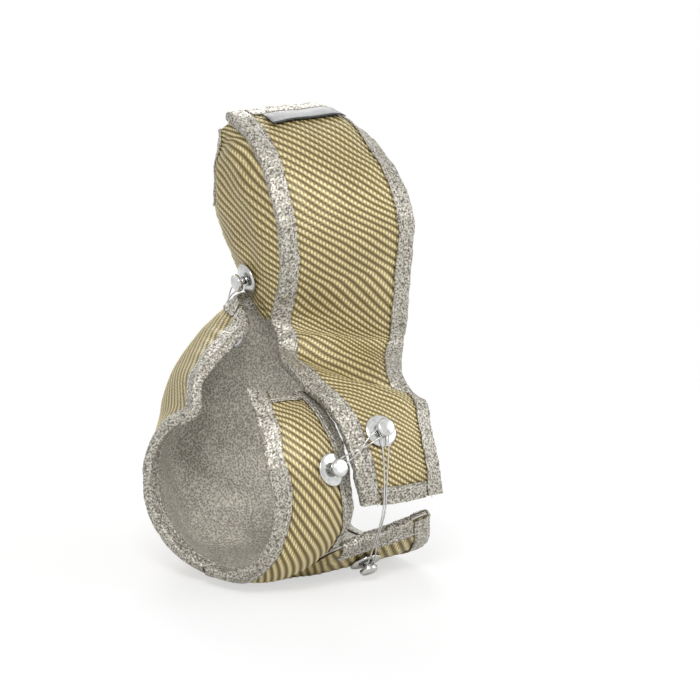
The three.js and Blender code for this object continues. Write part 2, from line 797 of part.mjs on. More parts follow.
// The label lies on the cover, just in front of the rear binding.
const labelFrom = cover.vLines[1] + endClearance / cover.speedV(0);
const labelTo = labelFrom + labelWidth / cover.speedV(0);
const labelMiddle = 0.52;
const labelHalf = labelLength / 2 / cover.speedU(0.5, labelFrom);
const labelRows = [0, 0.5, 1].map((row) =>
  [-1, -0.5, 0, 0.5, 1].map((place) => [
    labelMiddle + place * labelHalf,
    lerp(labelFrom, labelTo, row),
  ]),
);
add(
  "label_tab",
  layer(cover, () => -labelLift - labelThickness, () => -labelLift, labelRows),
  "label",
);

export default blanket;
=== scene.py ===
import math

import bmesh
import bpy
import numpy as np
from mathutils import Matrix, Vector


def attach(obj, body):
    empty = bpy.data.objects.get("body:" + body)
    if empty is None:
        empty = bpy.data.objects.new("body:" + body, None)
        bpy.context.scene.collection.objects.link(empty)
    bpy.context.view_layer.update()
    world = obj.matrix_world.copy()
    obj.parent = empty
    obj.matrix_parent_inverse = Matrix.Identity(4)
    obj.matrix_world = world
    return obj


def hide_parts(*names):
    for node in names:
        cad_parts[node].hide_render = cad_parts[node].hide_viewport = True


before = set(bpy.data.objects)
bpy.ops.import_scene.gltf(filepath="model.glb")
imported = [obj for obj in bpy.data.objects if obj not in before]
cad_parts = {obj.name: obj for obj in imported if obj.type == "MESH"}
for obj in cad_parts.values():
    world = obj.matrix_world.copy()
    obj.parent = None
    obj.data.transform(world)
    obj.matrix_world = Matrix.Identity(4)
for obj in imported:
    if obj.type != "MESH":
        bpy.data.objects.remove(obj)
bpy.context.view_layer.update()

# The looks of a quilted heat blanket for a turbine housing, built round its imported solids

bl_info = {
    "name": "Turbine Heat Blanket",
    "version": (1, 0, 0),
    "blender": (4, 5, 0),
    "location": "View3D > Sidebar > Heat Blanket",
    "description": "Builds the woven panels, knitted edge tapes, anchors, wires and label of the blanket",
    "category": "Object",
}

MM = 0.001

# Layers of a quilted panel, in millimetres
FACE = 1.0
LINER = 0.8
CORE_MIDDLE = 4.4
CORE_EDGE = 0.8
LAYER_GAP = 0.3
PINCH = 17.0
TAPE_WIDTH = 8.5
TAPE_THICKNESS = 0.9
TAPE_GAP = 0.3
END_CLEARANCE = 1.3
TAPE_REACH = TAPE_GAP + TAPE_THICKNESS

# Scroll and exhaust outlet under the blanket, to the middle of the padding
SHAFT_Z = 50.0
FRONT_RADIUS = 48.4
BOTTOM_RADIUS = 47.5
BACK_RADIUS = 70.5
SHAFT_SIDE_DROP = 3.5
NECK_DROP = 1.5
OUTLET_X = -61.0
OUTLET_RADIUS = 45.5
OUTLET_TURN = 25.5
NECK_RADIUS = 41.5
NECK_SET_BACK = 8.0
SEAM_X = -4.0
SHAFT_SIDE_X = 56.0
HEM_ANGLE = -2.0
BELLY_EDGE_ANGLE = -19.0
SEAM_ANGLE = -31.0
SEAM_GAP = 2.2

# Hood over the inlet duct
HOOD_WIDTH = 65.0
HOOD_BACK_Y = 72.0
HOOD_TOP_Z = 228.0
HOOD_TOP_DROP = 8.0
LEFT_SHOULDER = (52.8, 66.6)
RIGHT_SHOULDER = (74.0, 43.0)
SHOULDER_POWER = 1.7
CHEEK_INSET = 3.0
CHEEK_CROWN = 6.0
OPENING_LEAN = 9.0
OPENING_HEIGHT = 50.0
OPENING_LIP = 9.0
THROAT = (39.5, 127.0)
WALL_SAG = 3.0
LAP_HEIGHT = 0.3
FIT_GAP = 0.3

# Lacing anchors
WASHER_RADIUS = 8.4
WASHER_THICKNESS = 0.8
WASHER_DOME = 1.2
WASHER_LIFT = 0.9
POST_RADIUS = 1.9
CAP_RADIUS = 4.7
CAP_HEIGHT = 2.6
CAP_BEVEL = 0.9
NECK_LENGTH = 3.2
INNER_RADIUS = 5.5
INNER_THICKNESS = 0.8
INNER_LIFT = 0.9
PEEN_RADIUS = 3.0
PEEN_THICKNESS = 0.8
WIRE_RADIUS = 0.45

# Grain of the cloths, in millimetres
YARN_HEIGHT = 0.28
YARN_WAVE = 0.15
RIB_HEIGHT = 0.26
TWILL = 3
YARN_STAND = 0.3
LOOP_PITCH = 1.9
LOOP_HEIGHT = 0.3
LOOP_LEVEL = 0.6
TABLE_TOP = 0.05

# Mesh steps, in millimetres, and columns of the plain inner side of a cloth
TAPE_STEP = 0.66
CLOTH_GRID = 2.4
CORE_GRID = 3.0
LINING_GRID = 2.2
FLAT_GRID = 4.0
UNDER_COLUMNS = 9

# Width that creases and puckers are drawn on, whatever the panel's own width is
NOMINAL_WIDTH = 60.0

# How far the even yarns run on under a tape
UNDER_TAPE = 2.5

# A tape's widest share of its panel, beside it and past a corner, and the wave of its inner edge
TAPE_SHARE = 0.3
CORNER_SHARE = 0.35
TAPE_WAVE = 0.05
TAPE_WAVE_GRAIN = 7
TAPE_SMOOTHING = 7

# Height, grain and seed step of the bulges of a tape
TAPE_BULGES = ((0.32, 5, 0), (0.22, 2.2, 3))

# Stitches: from the edge of the tape, off its surface, above the table, and their random tilt
STITCH_INSET = 2.1
STITCH_LIFT = 0.05
STITCH_TABLE_TOP = 0.6
STITCH_TILT = 0.12
STITCH_SEED = 5

# The wire is drawn thinner than its solid
WIRE_SHARE = 0.85

# Name, place, size and power of each lamp, in metres and watts
LAMPS = (
    ("key_light", (-0.75, -1.0, 1.25), 0.55, 15.0),
    ("fill_light", (1.1, -0.8, 0.7), 0.9, 6.5),
    ("rim_light", (0.5, 1.1, 0.9), 0.7, 9.0),
)


def smooth(x, low, high):
    """0 up to low, 1 from high, and a smooth rise between"""
    t = np.clip((x - low) / (high - low), 0, 1)
    return t * t * (3 - 2 * t)


def unit(a):
    return a / np.maximum(np.linalg.norm(a, axis=-1, keepdims=True), 1e-12)


def square_to(edge, towards):
    """The unit direction square to an edge, on the side that towards points to"""
    e = unit(edge)
    return unit(towards - e * np.sum(e * towards, axis=-1, keepdims=True))


def spline(points, t):
    """A centripetal Catmull-Rom curve through points (n, m, 3) at t (m), one curve for each t"""
    n = len(points)
    place = np.clip(t, 0, 1) * (n - 1)
    i = np.minimum(place.astype(int), n - 2)
    w = (place - i)[:, None]
    column = np.arange(points.shape[1])
    ends = [2 * points[:1] - points[1:2], 2 * points[-1:] - points[-2:-1]]
    padded = np.concatenate([ends[0], points, ends[1]])
    p0, p1, p2, p3 = (padded[i + k, column] for k in range(4))
    spans = ((p0, p1), (p1, p2), (p2, p3))
    d0, d1, d2 = (np.sqrt(np.maximum(np.linalg.norm(b - a, axis=1), 1e-8))[:, None] for a, b in spans)
    t1 = ((p1 - p0) / d0 - (p2 - p0) / (d0 + d1) + (p2 - p1) / d1) * d1
    t2 = ((p2 - p1) / d1 - (p3 - p1) / (d1 + d2) + (p3 - p2) / d2) * d1
    cubic = 2 * p1 - 2 * p2 + t1 + t2
    square = -3 * p1 + 3 * p2 - 2 * t1 - t2
    return p1 + w * (t1 + w * (square + w * cubic))


def rail_at(rail, t):
    return spline(np.broadcast_to(rail[:, None], (len(rail), len(t), 3)), t)


def noise(x, y, pitch, seed):
    """Smooth noise from -1 to 1 with a grain of that pitch"""
    table = np.random.default_rng(seed).uniform(-1, 1, (64, 64))
    gx, gy = np.asarray(x) / pitch + 7.3, np.asarray(y) / pitch + 3.1
    ix, iy = np.floor(gx).astype(int), np.floor(gy).astype(int)
    fx, fy = gx - ix, gy - iy
    fx, fy = fx * fx * (3 - 2 * fx), fy * fy * (3 - 2 * fy)
    a, b = table[ix % 64, iy % 64], table[(ix + 1) % 64, iy % 64]
    c, d = table[ix % 64, (iy + 1) % 64], table[(ix + 1) % 64, (iy + 1) % 64]
    return (a * (1 - fx) + b * fx) * (1 - fy) + (c * (1 - fx) + d * fx) * fy


class Panel:
    """A quilted panel: a surface across two or more rails, crowned outwards between them"""

    def __init__(self, rails, crown, out, keep_u=None, folds=(), pucker=0.45, seed=1):
        self.rails = [np.array(r, float) for r in rails]
        self.crown = np.array(crown, float)
        self.out = out
        self.keep_u = keep_u
        self.folds = folds
        self.pucker = pucker
        self.seed = seed
        ends = self.speed_v(np.array([0.0, 1.0]))
        self.start, self.end = ends

    def across(self, u, v):
        points = np.stack([rail_at(r, v) for r in self.rails])
        if len(points) == 2:
            return points[0] + (points[1] - points[0]) * u[:, None]
        if self.keep_u is None:
            return spline(points, u)
        near = spline(points[:-1], np.minimum(u / self.keep_u, 1))
        share = np.clip((u - self.keep_u) / (1 - self.keep_u), 0, 1)[:, None]
        far = points[-2] + (points[-1] - points[-2]) * share
        return np.where((u > self.keep_u)[:, None], far, near)

    def slope(self, surface, u, v):
        step = 0.002
        u0, v0 = np.clip(u, step, 1 - step), np.clip(v, step, 1 - step)
        du = (surface(u0 + step, v0) - surface(u0 - step, v0)) / (2 * step)
        dv = (surface(u0, v0 + step) - surface(u0, v0 - step)) / (2 * step)
        return du, dv

    def normal(self, surface, u, v):
        du, dv = self.slope(surface, u, v)
        return unit(np.cross(du, dv)) * self.out

    def lift(self, u, v):
        place = np.clip(v, 0, 1) * (len(self.crown) - 1)
        i = np.minimum(place.astype(int), len(self.crown) - 2)
        w = smooth(place - i, 0, 1)
        return (self.crown[i] * (1 - w) + self.crown[i + 1] * w) * 4 * u * (1 - u)

    def at(self, u, v):
        return self.across(u, v) + self.normal(self.across, u, v) * self.lift(u, v)[:, None]

    def facing(self, u, v):
        return self.normal(self.at, u, v)

    def speed_u(self, u, v):
        return np.linalg.norm(self.slope(self.across, u, v)[0], axis=1)

    def speed_v(self, v):
        return np.linalg.norm(self.slope(self.across, np.full_like(v, 0.5), v)[1], axis=1)

    def from_edge(self, u, v):
        left, right = self.speed_u(np.zeros_like(u), v), self.speed_u(np.ones_like(u), v)
        sides = np.minimum(u * left, (1 - u) * right)
        return np.minimum(sides, np.minimum(v * self.start, (1 - v) * self.end))

    def core(self, u, v):
        return CORE_EDGE + (CORE_MIDDLE - CORE_EDGE) * smooth(self.from_edge(u, v), 0, PINCH)

    def soften(self, u, v):
        """How far the soft cloth stands off the plain surface: creases, and puckers beside the seams"""
        edge = self.from_edge(u, v)
        x, y = u * NOMINAL_WIDTH, v * self.length
        total = self.pucker * noise(x, y, 11, self.seed) * smooth(edge, 0, 14)
        total += self.pucker * 0.9 * noise(x * 0.6, y, 6.5, self.seed + 1) * (1 - smooth(edge, 9, 24))
        for (u0, v0), (u1, v1), width, depth in self.folds:
            along = np.array([(u1 - u0) * NOMINAL_WIDTH, (v1 - v0) * self.length])
            size = np.linalg.norm(along)
            dx, dy = (u - u0) * NOMINAL_WIDTH, (v - v0) * self.length
            t = (dx * along[0] + dy * along[1]) / size**2
            off = (dx * along[1] - dy * along[0]) / size
            ends = smooth(t, -0.35, 0.2) * (1 - smooth(t, 0.8, 1.35))
            total += depth * ends * np.exp(-((off / width) ** 2))
        return total

    @property
    def length(self):
        v = np.linspace(0, 1, 60)
        middle = self.across(np.full_like(v, 0.5), v)
        return float(np.linalg.norm(np.diff(middle, axis=0), axis=1).sum())

    def place(self, u, v, depth, past_u=0.0, past_v=0.0, soft=True):
        """Points at a depth below the woven face, or past the nearest edge of the panel"""
        u, v = np.asarray(u, float), np.asarray(v, float)
        depth = np.broadcast_to(depth, u.shape)
        height = stack_of(self.core(u, v)) / 2 - depth
        if soft:
            height = height + self.soften(u, v)
        p = self.at(u, v) + self.facing(u, v) * height[:, None]
        du, dv = self.slope(self.at, u, v)
        p += square_to(dv, du) * np.broadcast_to(past_u, u.shape)[:, None]
        p += square_to(du, dv) * np.broadcast_to(past_v, u.shape)[:, None]
        rise = 1 - smooth(self.from_edge(u, v), TAPE_WIDTH, TAPE_WIDTH + PINCH)
        p[:, 2] = np.maximum(p[:, 2], depth + TAPE_REACH * rise)
        return p


def stack_of(core):
    return FACE + LINER + core + 2 * LAYER_GAP


FLAP_RADIUS = FRONT_RADIUS + stack_of(CORE_MIDDLE) + TAPE_REACH + 2 * FIT_GAP
EDGE_HALF = stack_of(CORE_EDGE) / 2


def on_scroll(x, radius, angle):
    """A point on the scroll: angle 0 faces the front and -90 is down"""
    a = math.radians(angle)
    return (x, -radius * math.cos(a), SHAFT_Z + radius * math.sin(a))


def scroll_radius(angle):
    to_bottom, to_back = smooth(-angle, 10, 80), smooth(-angle, 80, 165)
    return FRONT_RADIUS + (BOTTOM_RADIUS - FRONT_RADIUS) * to_bottom + (BACK_RADIUS - BOTTOM_RADIUS) * to_back


def on_outlet(angle):
    """A point on the edge of the outlet opening, which is turned about the vertical"""
    a, turn = math.radians(angle), math.radians(OUTLET_TURN)
    behind = smooth(-angle, 40, 115)
    radius = OUTLET_RADIUS + (NECK_RADIUS - OUTLET_RADIUS) * behind
    across = radius * math.cos(a)
    x = OUTLET_X + NECK_SET_BACK * behind + across * math.sin(turn)
    return (x, -across * math.cos(turn), SHAFT_Z + radius * math.sin(a))


def shoulder(x, top_z, size, turn):
    a = math.radians(turn)
    depth, rise = size
    y = HOOD_BACK_Y - depth * math.sin(a) ** (2 / SHOULDER_POWER)
    return (x, y, top_z - rise + rise * max(math.cos(a), 0) ** (2 / SHOULDER_POWER))


def make_cover():
    """The long band over the hood, down its front and over the scroll as a flap"""
    turns = (0, 28, 50, 70, 90)
    scroll_top = SHAFT_Z + FRONT_RADIUS
    left_y, left_z = HOOD_BACK_Y - LEFT_SHOULDER[0], HOOD_TOP_Z - LEFT_SHOULDER[1]
    right_top = HOOD_TOP_Z - HOOD_TOP_DROP
    right_y, right_z = HOOD_BACK_Y - RIGHT_SHOULDER[0], right_top - RIGHT_SHOULDER[1]
    left = [shoulder(0, HOOD_TOP_Z, LEFT_SHOULDER, t) for t in turns]
    left += [
        (0, left_y + 2.5, left_z - 17),
        (0, left_y + 9, scroll_top + 29),
        (0, left_y + 3, scroll_top + 19),
        (-7, left_y - 12, scroll_top + 12),
    ]
    left += [
        on_scroll(x, FLAP_RADIUS, a)
        for x, a in ((-11, 74), (-8, 57), (-5.5, 42), (-4, 28), (-3, 13), (0, HEM_ANGLE))
    ]
    w = HOOD_WIDTH
    right = [shoulder(w, right_top, RIGHT_SHOULDER, t) for t in turns]
    right += [
        (w, right_y + 2, right_z - 20),
        (w, right_y + 5, scroll_top + 32),
        (w, right_y + 9, scroll_top + 14),
        (w - 10, right_y - 4, scroll_top + 5),
        on_scroll(w - 21, FLAP_RADIUS - 2, 60),
    ]
    right += [
        on_scroll(w - back, FLAP_RADIUS, a)
        for back, a in ((17, 47), (20, 35), (21.5, 23), (20.5, 11), (19.5, HEM_ANGLE))
    ]
    folds = (
        ((0.24, -0.06), (0.24, 0.08), 9, -2.0),
        ((0.8, -0.06), (0.8, 0.08), 10, 3.0),
        ((0.05, 0.53), (0.95, 0.69), 6, -4.2),
        ((0.15, 0.47), (0.85, 0.6), 7, 2.2),
        ((0.1, 0.62), (0.8, 0.76), 6, 1.6),
        ((0.1, 0.2), (0.9, 0.13), 14, 0.8),
    )
    crown = [5, 5, 4, 4, 3.5, 3, 3, 2, 0, 0, 2, 3, 3, 2, 1]
    return Panel([left, right], crown, -1, folds=folds, seed=11)


def wall_values():
    bottom = np.array([HOOD_BACK_Y + OPENING_LEAN + 5, HOOD_TOP_Z - OPENING_HEIGHT - 2])
    throat = np.array(THROAT)
    run = bottom - throat
    normal = np.array([run[1], -run[0]]) / np.linalg.norm(run)
    return bottom, throat, normal


def on_back_wall(x, t, offset):
    """A point on the back wall: t is 0 at the throat and 1 at the opening"""
    bottom, throat, normal = wall_values()
    y, z = throat + (bottom - throat) * t + normal * (WALL_SAG * 4 * t * (1 - t) + offset)
    return (x, y, z)


def make_cheek(cover, side):
    x = HOOD_WIDTH - CHEEK_INSET if side else CHEEK_INSET
    top_z = HOOD_TOP_Z - HOOD_TOP_DROP if side else HOOD_TOP_Z
    drop = EDGE_HALF + TAPE_REACH + 7 * FIT_GAP
    v = np.array([0, 0.5, 1, 2, 3, 4, 5, 6]) / 14
    u = np.full_like(v, side)
    front = cover.at(u, v) - cover.facing(u, v) * drop
    front[:, 0] = x
    opening_top = top_z - OPENING_LIP
    bottom_z = wall_values()[0][1]
    rear = [
        (x, HOOD_BACK_Y + OPENING_LEAN, opening_top),
        (x, HOOD_BACK_Y + OPENING_LEAN + 2.5, opening_top + (bottom_z - opening_top) * 0.25),
        (x, HOOD_BACK_Y + OPENING_LEAN + 4, opening_top + (bottom_z - opening_top) * 0.55),
    ]
    rear += [on_back_wall(x, t, EDGE_HALF) for t in (1, 0.75, 0.5, 0.25, 0)]
    crown = [0.5, 2, CHEEK_CROWN, CHEEK_CROWN, CHEEK_CROWN, 4, 2, 0.5]
    folds = (
        ((0.45, 0.15), (0.6, 0.75), 8, -1.2),
        ((0.75, 0.2), (0.8, 0.6), 5, 0.9),
    )
    return Panel([rear, front], crown, 1 if side else -1, folds=folds, seed=21 + side)


def make_back_wall():
    inset = CHEEK_INSET + EDGE_HALF + FIT_GAP * 1.4
    rails = [[on_back_wall(x, t, 0) for t in (1, 0.75, 0.5, 0.25, 0)] for x in (inset, HOOD_WIDTH - inset)]
    return Panel(rails, [0, 0], 1, seed=31)


def make_outlet_panel():
    """Wraps the front of the neck between the outlet and the scroll"""
    edge = [
        (OUTLET_X + 21.5, -10, SHAFT_Z + 53),
        (OUTLET_X + 20, -20, SHAFT_Z + 43.5),
        (OUTLET_X + 19.5, -28.5, SHAFT_Z + 34),
    ]
    edge += [on_outlet(a) for a in (28, 5, -20, -45, -70, -97)]
    middle = [on_scroll(SEAM_X - 20, FRONT_RADIUS + 1.5, a) for a in (74, 62, 50, 33, 14, -7, -28)]
    middle += [on_scroll(SEAM_X - 24, FRONT_RADIUS, -50), on_scroll(SEAM_X - 29, BOTTOM_RADIUS, -70)]
    steps = ((-3, 74), (-2, 62), (-1, 50), (0, 36), (0, 20), (0, 5))
    steps += ((1.5, -8), (-0.5, -20), (-2.5, SEAM_ANGLE))
    front = [on_scroll(SEAM_X + x, FRONT_RADIUS, a) for x, a in steps]
    return Panel([edge, middle, front], [0.5, 1, 1, 1, 0.5, 0], -1, seed=41)


def make_belly(outlet_panel):
    """From the seam and the front edge under the scroll, up its back and over the neck"""
    lap_offset = stack_of(CORE_MIDDLE) / 2 + EDGE_HALF + TAPE_REACH + 2 * FIT_GAP
    lap = on_back_wall(0, LAP_HEIGHT, lap_offset)

    def on_seam(u):
        u, v = np.array([u]), np.array([1.0])
        du, dv = outlet_panel.slope(outlet_panel.at, u, v)
        return tuple((outlet_panel.at(u, v) + square_to(du, dv) * SEAM_GAP)[0])

    def on_back(x, t, dy=0.0):
        y = BACK_RADIUS + (lap[1] - BACK_RADIUS) * t + dy
        return (x, y, SHAFT_Z + (lap[2] - SHAFT_Z) * t)

    def turn(x, drop, angles):
        return [on_scroll(x, scroll_radius(a) - drop(a), a) for a in angles]

    edge = [on_seam(0.0)] + [on_outlet(a) for a in (-120, -143, -165, -187, -208, -230, -254)]
    edge += [
        (OUTLET_X + 8, 16, SHAFT_Z + 53),
        (OUTLET_X + 18, 22, SHAFT_Z + 60),
        (OUTLET_X + 28, 26.5, SHAFT_Z + 64.5),
        (OUTLET_X + 37, 30.5, SHAFT_Z + 68.7),
        (-15, 34, SHAFT_Z + 73),
        (-9, 38.5, SHAFT_Z + 77.5),
    ]
    neck = [on_seam(0.5)] + turn(-35, lambda a: NECK_DROP, (-91, -112, -134, -156))
    neck_climb = ((-39, 0), (-40, 0.2), (-39, 0.38), (-35, 0.52), (-30, 0.63), (-24, 0.72))
    neck += [on_back(x, t) for x, t in neck_climb]
    neck += [on_back(-17, 0.81, -1), on_back(-10, 0.9, -3), (-5, 54, lap[2] - 1)]
    seam = [on_seam(1.0)] + turn(-4, lambda a: 0, (-55, -80, -105, -130, -155))
    seam += [on_back(x, t) for x, t in ((-13, 0), (-14, 0.25), (-12, 0.44), (-8, 0.58), (-4, 0.7))]
    seam += [on_back(x, t) for x, t in ((1, 0.8), (6, 0.9), (12, 1))]
    x = SHAFT_SIDE_X
    side = [on_scroll(x - 10, FRONT_RADIUS, BELLY_EDGE_ANGLE), on_scroll(x - 4, FRONT_RADIUS - 1, -42)]
    side += turn(x, lambda a: SHAFT_SIDE_DROP * smooth(a, -120, -90), (-66, -90, -114, -140, -165))
    climb = ((56, 0.15), (57, 0.35), (58, 0.5), (59, 0.64), (60, 0.77), (60, 0.89), (60, 1))
    side += [on_back(x, t) for x, t in climb]
    return Panel([edge, neck, seam, side], [0, 0], -1, keep_u=2 / 3, pucker=0.3, seed=51)


COVER = make_cover()
OUTLET = make_outlet_panel()
PANELS = {
    "cover": COVER,
    "left_cheek": make_cheek(COVER, 0),
    "right_cheek": make_cheek(COVER, 1),
    "back_wall": make_back_wall(),
    "outlet_panel": OUTLET,
    "belly_panel": make_belly(OUTLET),
}


def grid_of(panel, step):
    """Even places over a panel, about a step apart at its widest"""
    v = np.linspace(0, 1, 25)
    widths = panel.speed_u(np.full_like(v, 0.5), v)
    columns = max(int(widths.max() / step), 6)
    rows = max(int(panel.length / step), 6)
    vv, uu = np.meshgrid(np.linspace(0, 1, rows + 1), np.linspace(0, 1, columns + 1), indexing="ij")
    return uu, vv


def surface(panel, step, depth):
    """A grid of points (rows, columns, 3) at a depth below the woven face"""
    uu, vv = grid_of(panel, step)
    u, v = uu.ravel(), vv.ravel()
    below = depth(panel, u, v) if callable(depth) else depth
    return panel.place(u, v, below).reshape(*uu.shape, 3)


def between(w, p0, p1, p2, p3):
    """A smooth curve from p1 at w = 0 to p2 at w = 1, guided by p0 and p3"""
    return p1 + 0.5 * w * (p2 - p0 + w * (2 * p0 - 5 * p1 + 4 * p2 - p3 + w * (3 * p1 - p0 - 3 * p2 + p3)))


def resample(grid, at, axis):
    """Reads an even grid at fractions of its length along one axis, by smooth curves"""
    grid = np.moveaxis(grid, axis, 0)
    n = len(grid)
    t = np.clip(at, 0, 1) * (n - 1)
    i = np.minimum(t.astype(int), n - 2)
    w = (t - i).reshape(-1, *[1] * (grid.ndim - 1))
    padded = np.concatenate([2 * grid[:1] - grid[1:2], grid, 2 * grid[-1:] - grid[-2:-1]])
    return np.moveaxis(between(w, *(padded[i + k] for k in range(4))), 0, axis)


def resample_rows(grid, at):
    """Reads each row of a grid (rows, columns, 3) at its own fractions (rows, count)"""
    n = grid.shape[1]
    t = np.clip(at, 0, 1) * (n - 1)
    i = np.minimum(t.astype(int), n - 2)
    w = (t - i)[..., None]
    padded = np.concatenate([2 * grid[:, :1] - grid[:, 1:2], grid, 2 * grid[:, -1:] - grid[:, -2:-1]], axis=1)
    row = np.arange(len(grid))[:, None]
    return between(w, *(padded[row, i + k] for k in range(4)))


def grid_normals(grid, outwards):
    """Unit normals of a grid of points"""
    return unit(np.cross(np.gradient(grid, axis=1), np.gradient(grid, axis=0))) * outwards


def quads_of(rows, columns, offset=0, closed=False):
    """Faces of a grid whose vertices run row by row"""
    last = columns if closed else columns - 1
    i, j = np.meshgrid(np.arange(rows - 1), np.arange(last), indexing="ij")
    a, b = i * columns + j, i * columns + (j + 1) % columns
    return np.stack([a, b, b + columns, a + columns], axis=-1).reshape(-1, 4) + offset


def zip_rows(fine, coarse):
    """Triangles between two rows of vertices with different counts"""
    faces, i, j = [], 0, 0
    while i < len(fine) - 1 or j < len(coarse) - 1:
        if j == len(coarse) - 1 or (i < len(fine) - 1 and i / (len(fine) - 1) <= j / (len(coarse) - 1)):
            faces.append((fine[i], fine[i + 1], coarse[j]))
            i += 1
        else:
            faces.append((fine[i], coarse[j + 1], coarse[j]))
            j += 1
    return faces


def make_object(name, points, faces, material, attributes=None, uv=None):
    """A mesh object from points in millimetres, with its faces turned outwards"""
    faces = [tuple(int(k) for k in f) for f in faces]
    points = np.asarray(points, float)
    mesh = bpy.data.meshes.new(name)
    mesh.from_pydata((points * MM).tolist(), [], faces)
    shape = bmesh.new()
    shape.from_mesh(mesh)
    bmesh.ops.recalc_face_normals(shape, faces=shape.faces)
    shape.to_mesh(mesh)
    shape.free()
    for key, values in (attributes or {}).items():
        layer = mesh.attributes.new(key, "FLOAT", "POINT")
        layer.data.foreach_set("value", np.asarray(values, np.float32))
    if uv is not None:
        corners = np.zeros(len(mesh.loops), int)
        mesh.loops.foreach_get("vertex_index", corners)
        mesh.uv_layers.new(name="cloth").data.foreach_set("uv", (uv[corners] * MM).astype(np.float32).ravel())
    mesh.shade_smooth()
    mesh.materials.append(material)
    obj = bpy.data.objects.new(name, mesh)
    bpy.context.scene.collection.objects.link(obj)
    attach(obj, "root")
    return obj


def linear(colour):
    """An sRGB hex colour as linear RGBA"""
    parts = [int(colour[k : k + 2], 16) / 255 for k in (1, 3, 5)]
    return (*[c / 12.92 if c <= 0.04045 else ((c + 0.055) / 1.055) ** 2.4 for c in parts], 1.0)


def node(tree, kind, links=None, **settings):
    """Adds a node, sets its properties and inputs, and links other nodes' outputs to it"""
    made = tree.nodes.new(kind)
    for key, value in settings.items():
        if hasattr(made, key) and key not in made.inputs:
            setattr(made, key, value)
        else:
            made.inputs[key.replace("_", " ")].default_value = value
    for socket, output in (links or {}).items():
        tree.links.new(output, made.inputs[socket])
    return made


def new_material(name, **settings):
    material = bpy.data.materials.new(name)
    material.use_nodes = True
    shader = material.node_tree.nodes["Principled BSDF"]
    for key, value in settings.items():
        shader.inputs[key.replace("_", " ")].default_value = value
    return material, material.node_tree, shader


def ramp(tree, source, stops):
    made = node(tree, "ShaderNodeValToRGB", {"Fac": source})
    elements = made.color_ramp.elements
    while len(elements) < len(stops):
        elements.new(0.5)
    for element, (place, colour) in zip(elements, stops):
        element.position = place
        element.color = linear(colour)
    return made.outputs["Color"]


def mix(tree, factor, a, b, blend="MIX"):
    """Mixes two colours, each a linked output or a hex colour"""
    made = tree.nodes.new("ShaderNodeMix")
    made.data_type = "RGBA"
    made.blend_type = blend
    for socket, value in ((0, factor), (6, a), (7, b)):
        if isinstance(value, bpy.types.NodeSocket):
            tree.links.new(value, made.inputs[socket])
        else:
            made.inputs[socket].default_value = linear(value) if isinstance(value, str) else value
    return made.outputs[2]


def attribute(tree, name):
    return node(tree, "ShaderNodeAttribute", attribute_name=name).outputs["Fac"]


def bump(tree, shader, height, strength, distance):
    made = node(tree, "ShaderNodeBump", {"Height": height}, Strength=strength, Distance=distance)
    tree.links.new(made.outputs["Normal"], shader.inputs["Normal"])


def object_noise(tree, scale, detail=3.0):
    where = node(tree, "ShaderNodeTexCoord").outputs["Object"]
    return node(tree, "ShaderNodeTexNoise", {"Vector": where}, Scale=scale, Detail=detail).outputs["Fac"]


def woven_material():
    """Mineral fibre twill: glassy yarns glint on each float, with a painted highlight on each yarn crest and
    deep brown painted shade in the gaps between the yarns and between the ribs
    """
    roughness = bpy.context.scene.blanket_finish.cloth_roughness
    material, tree, shader = new_material("mineral_fibre_twill", Roughness=roughness, Metallic=0.18)
    height = attribute(tree, "yarn_height")
    # Yarn colour by height: painted shade in the gaps between yarns and painted highlight on the crests; the
    # weft ramp is darker than the warp ramp
    body = ramp(tree, height, ((0.0, "#3d341e"), (0.3, "#7a6c42"), (0.62, "#b0a070"), (1.0, "#ece0b2")))
    weft = ramp(tree, height, ((0.0, "#352d19"), (0.35, "#6b5f3c"), (0.7, "#94865a"), (1.0, "#c4b688")))
    colour = mix(tree, attribute(tree, "warp"), weft, body)
    # Painted shade between the ribs, multiplied over the yarn colour
    painted_shade_between_ribs = ramp(tree, attribute(tree, "rib"), ((0.0, "#a3977f"), (0.7, "#ffffff")))
    colour = mix(tree, 0.8, colour, painted_shade_between_ribs, "MULTIPLY")
    uv = node(tree, "ShaderNodeUVMap", uv_map="cloth").outputs["UV"]
    along = node(tree, "ShaderNodeMapping", {"Vector": uv}, Scale=(9000, 900, 1)).outputs["Vector"]
    across = node(tree, "ShaderNodeMapping", {"Vector": uv}, Scale=(900, 9000, 1)).outputs["Vector"]
    fibres = [
        node(tree, "ShaderNodeTexNoise", {"Vector": v}, Scale=1.0, Detail=1.0).outputs["Fac"]
        for v in (across, along)
    ]
    strand = mix(tree, attribute(tree, "warp"), fibres[0], fibres[1])
    colour = mix(tree, 0.22, colour, strand, "OVERLAY")
    patches = object_noise(tree, 45)
    colour = mix(tree, 0.22, colour, patches, "OVERLAY")
    tree.links.new(colour, shader.inputs["Base Color"])
    bump(tree, shader, strand, 0.25, 0.0001)
    return material


def tape_material():
    """Knitted stainless tape over white cloth: bright wire, with painted shade in its small holes and in the
    low places between its loops
    """
    material, tree, shader = new_material("knitted_wire_tape", Roughness=0.42, Metallic=0.35)
    height = attribute(tree, "loop_height")
    # Colour by loop height: painted shade in the low places, lighter on the raised wire
    colour = ramp(tree, height, ((0.0, "#7d776a"), (0.3, "#aca699"), (0.6, "#c0bbae"), (1.0, "#d6d2c7")))
    where = node(tree, "ShaderNodeTexCoord").outputs["Object"]
    hole_cells = node(tree, "ShaderNodeTexVoronoi", {"Vector": where}, Scale=1000.0).outputs["Distance"]
    # Painted shade in the small holes between the wire cells
    wires = ramp(tree, hole_cells, ((0.0, "#ffffff"), (0.45, "#e6e6e6"), (0.75, "#555049")))
    colour = mix(tree, 0.8, colour, wires, "MULTIPLY")
    tree.links.new(colour, shader.inputs["Base Color"])
    bump(tree, shader, hole_cells, 0.35, 0.00015)
    return material


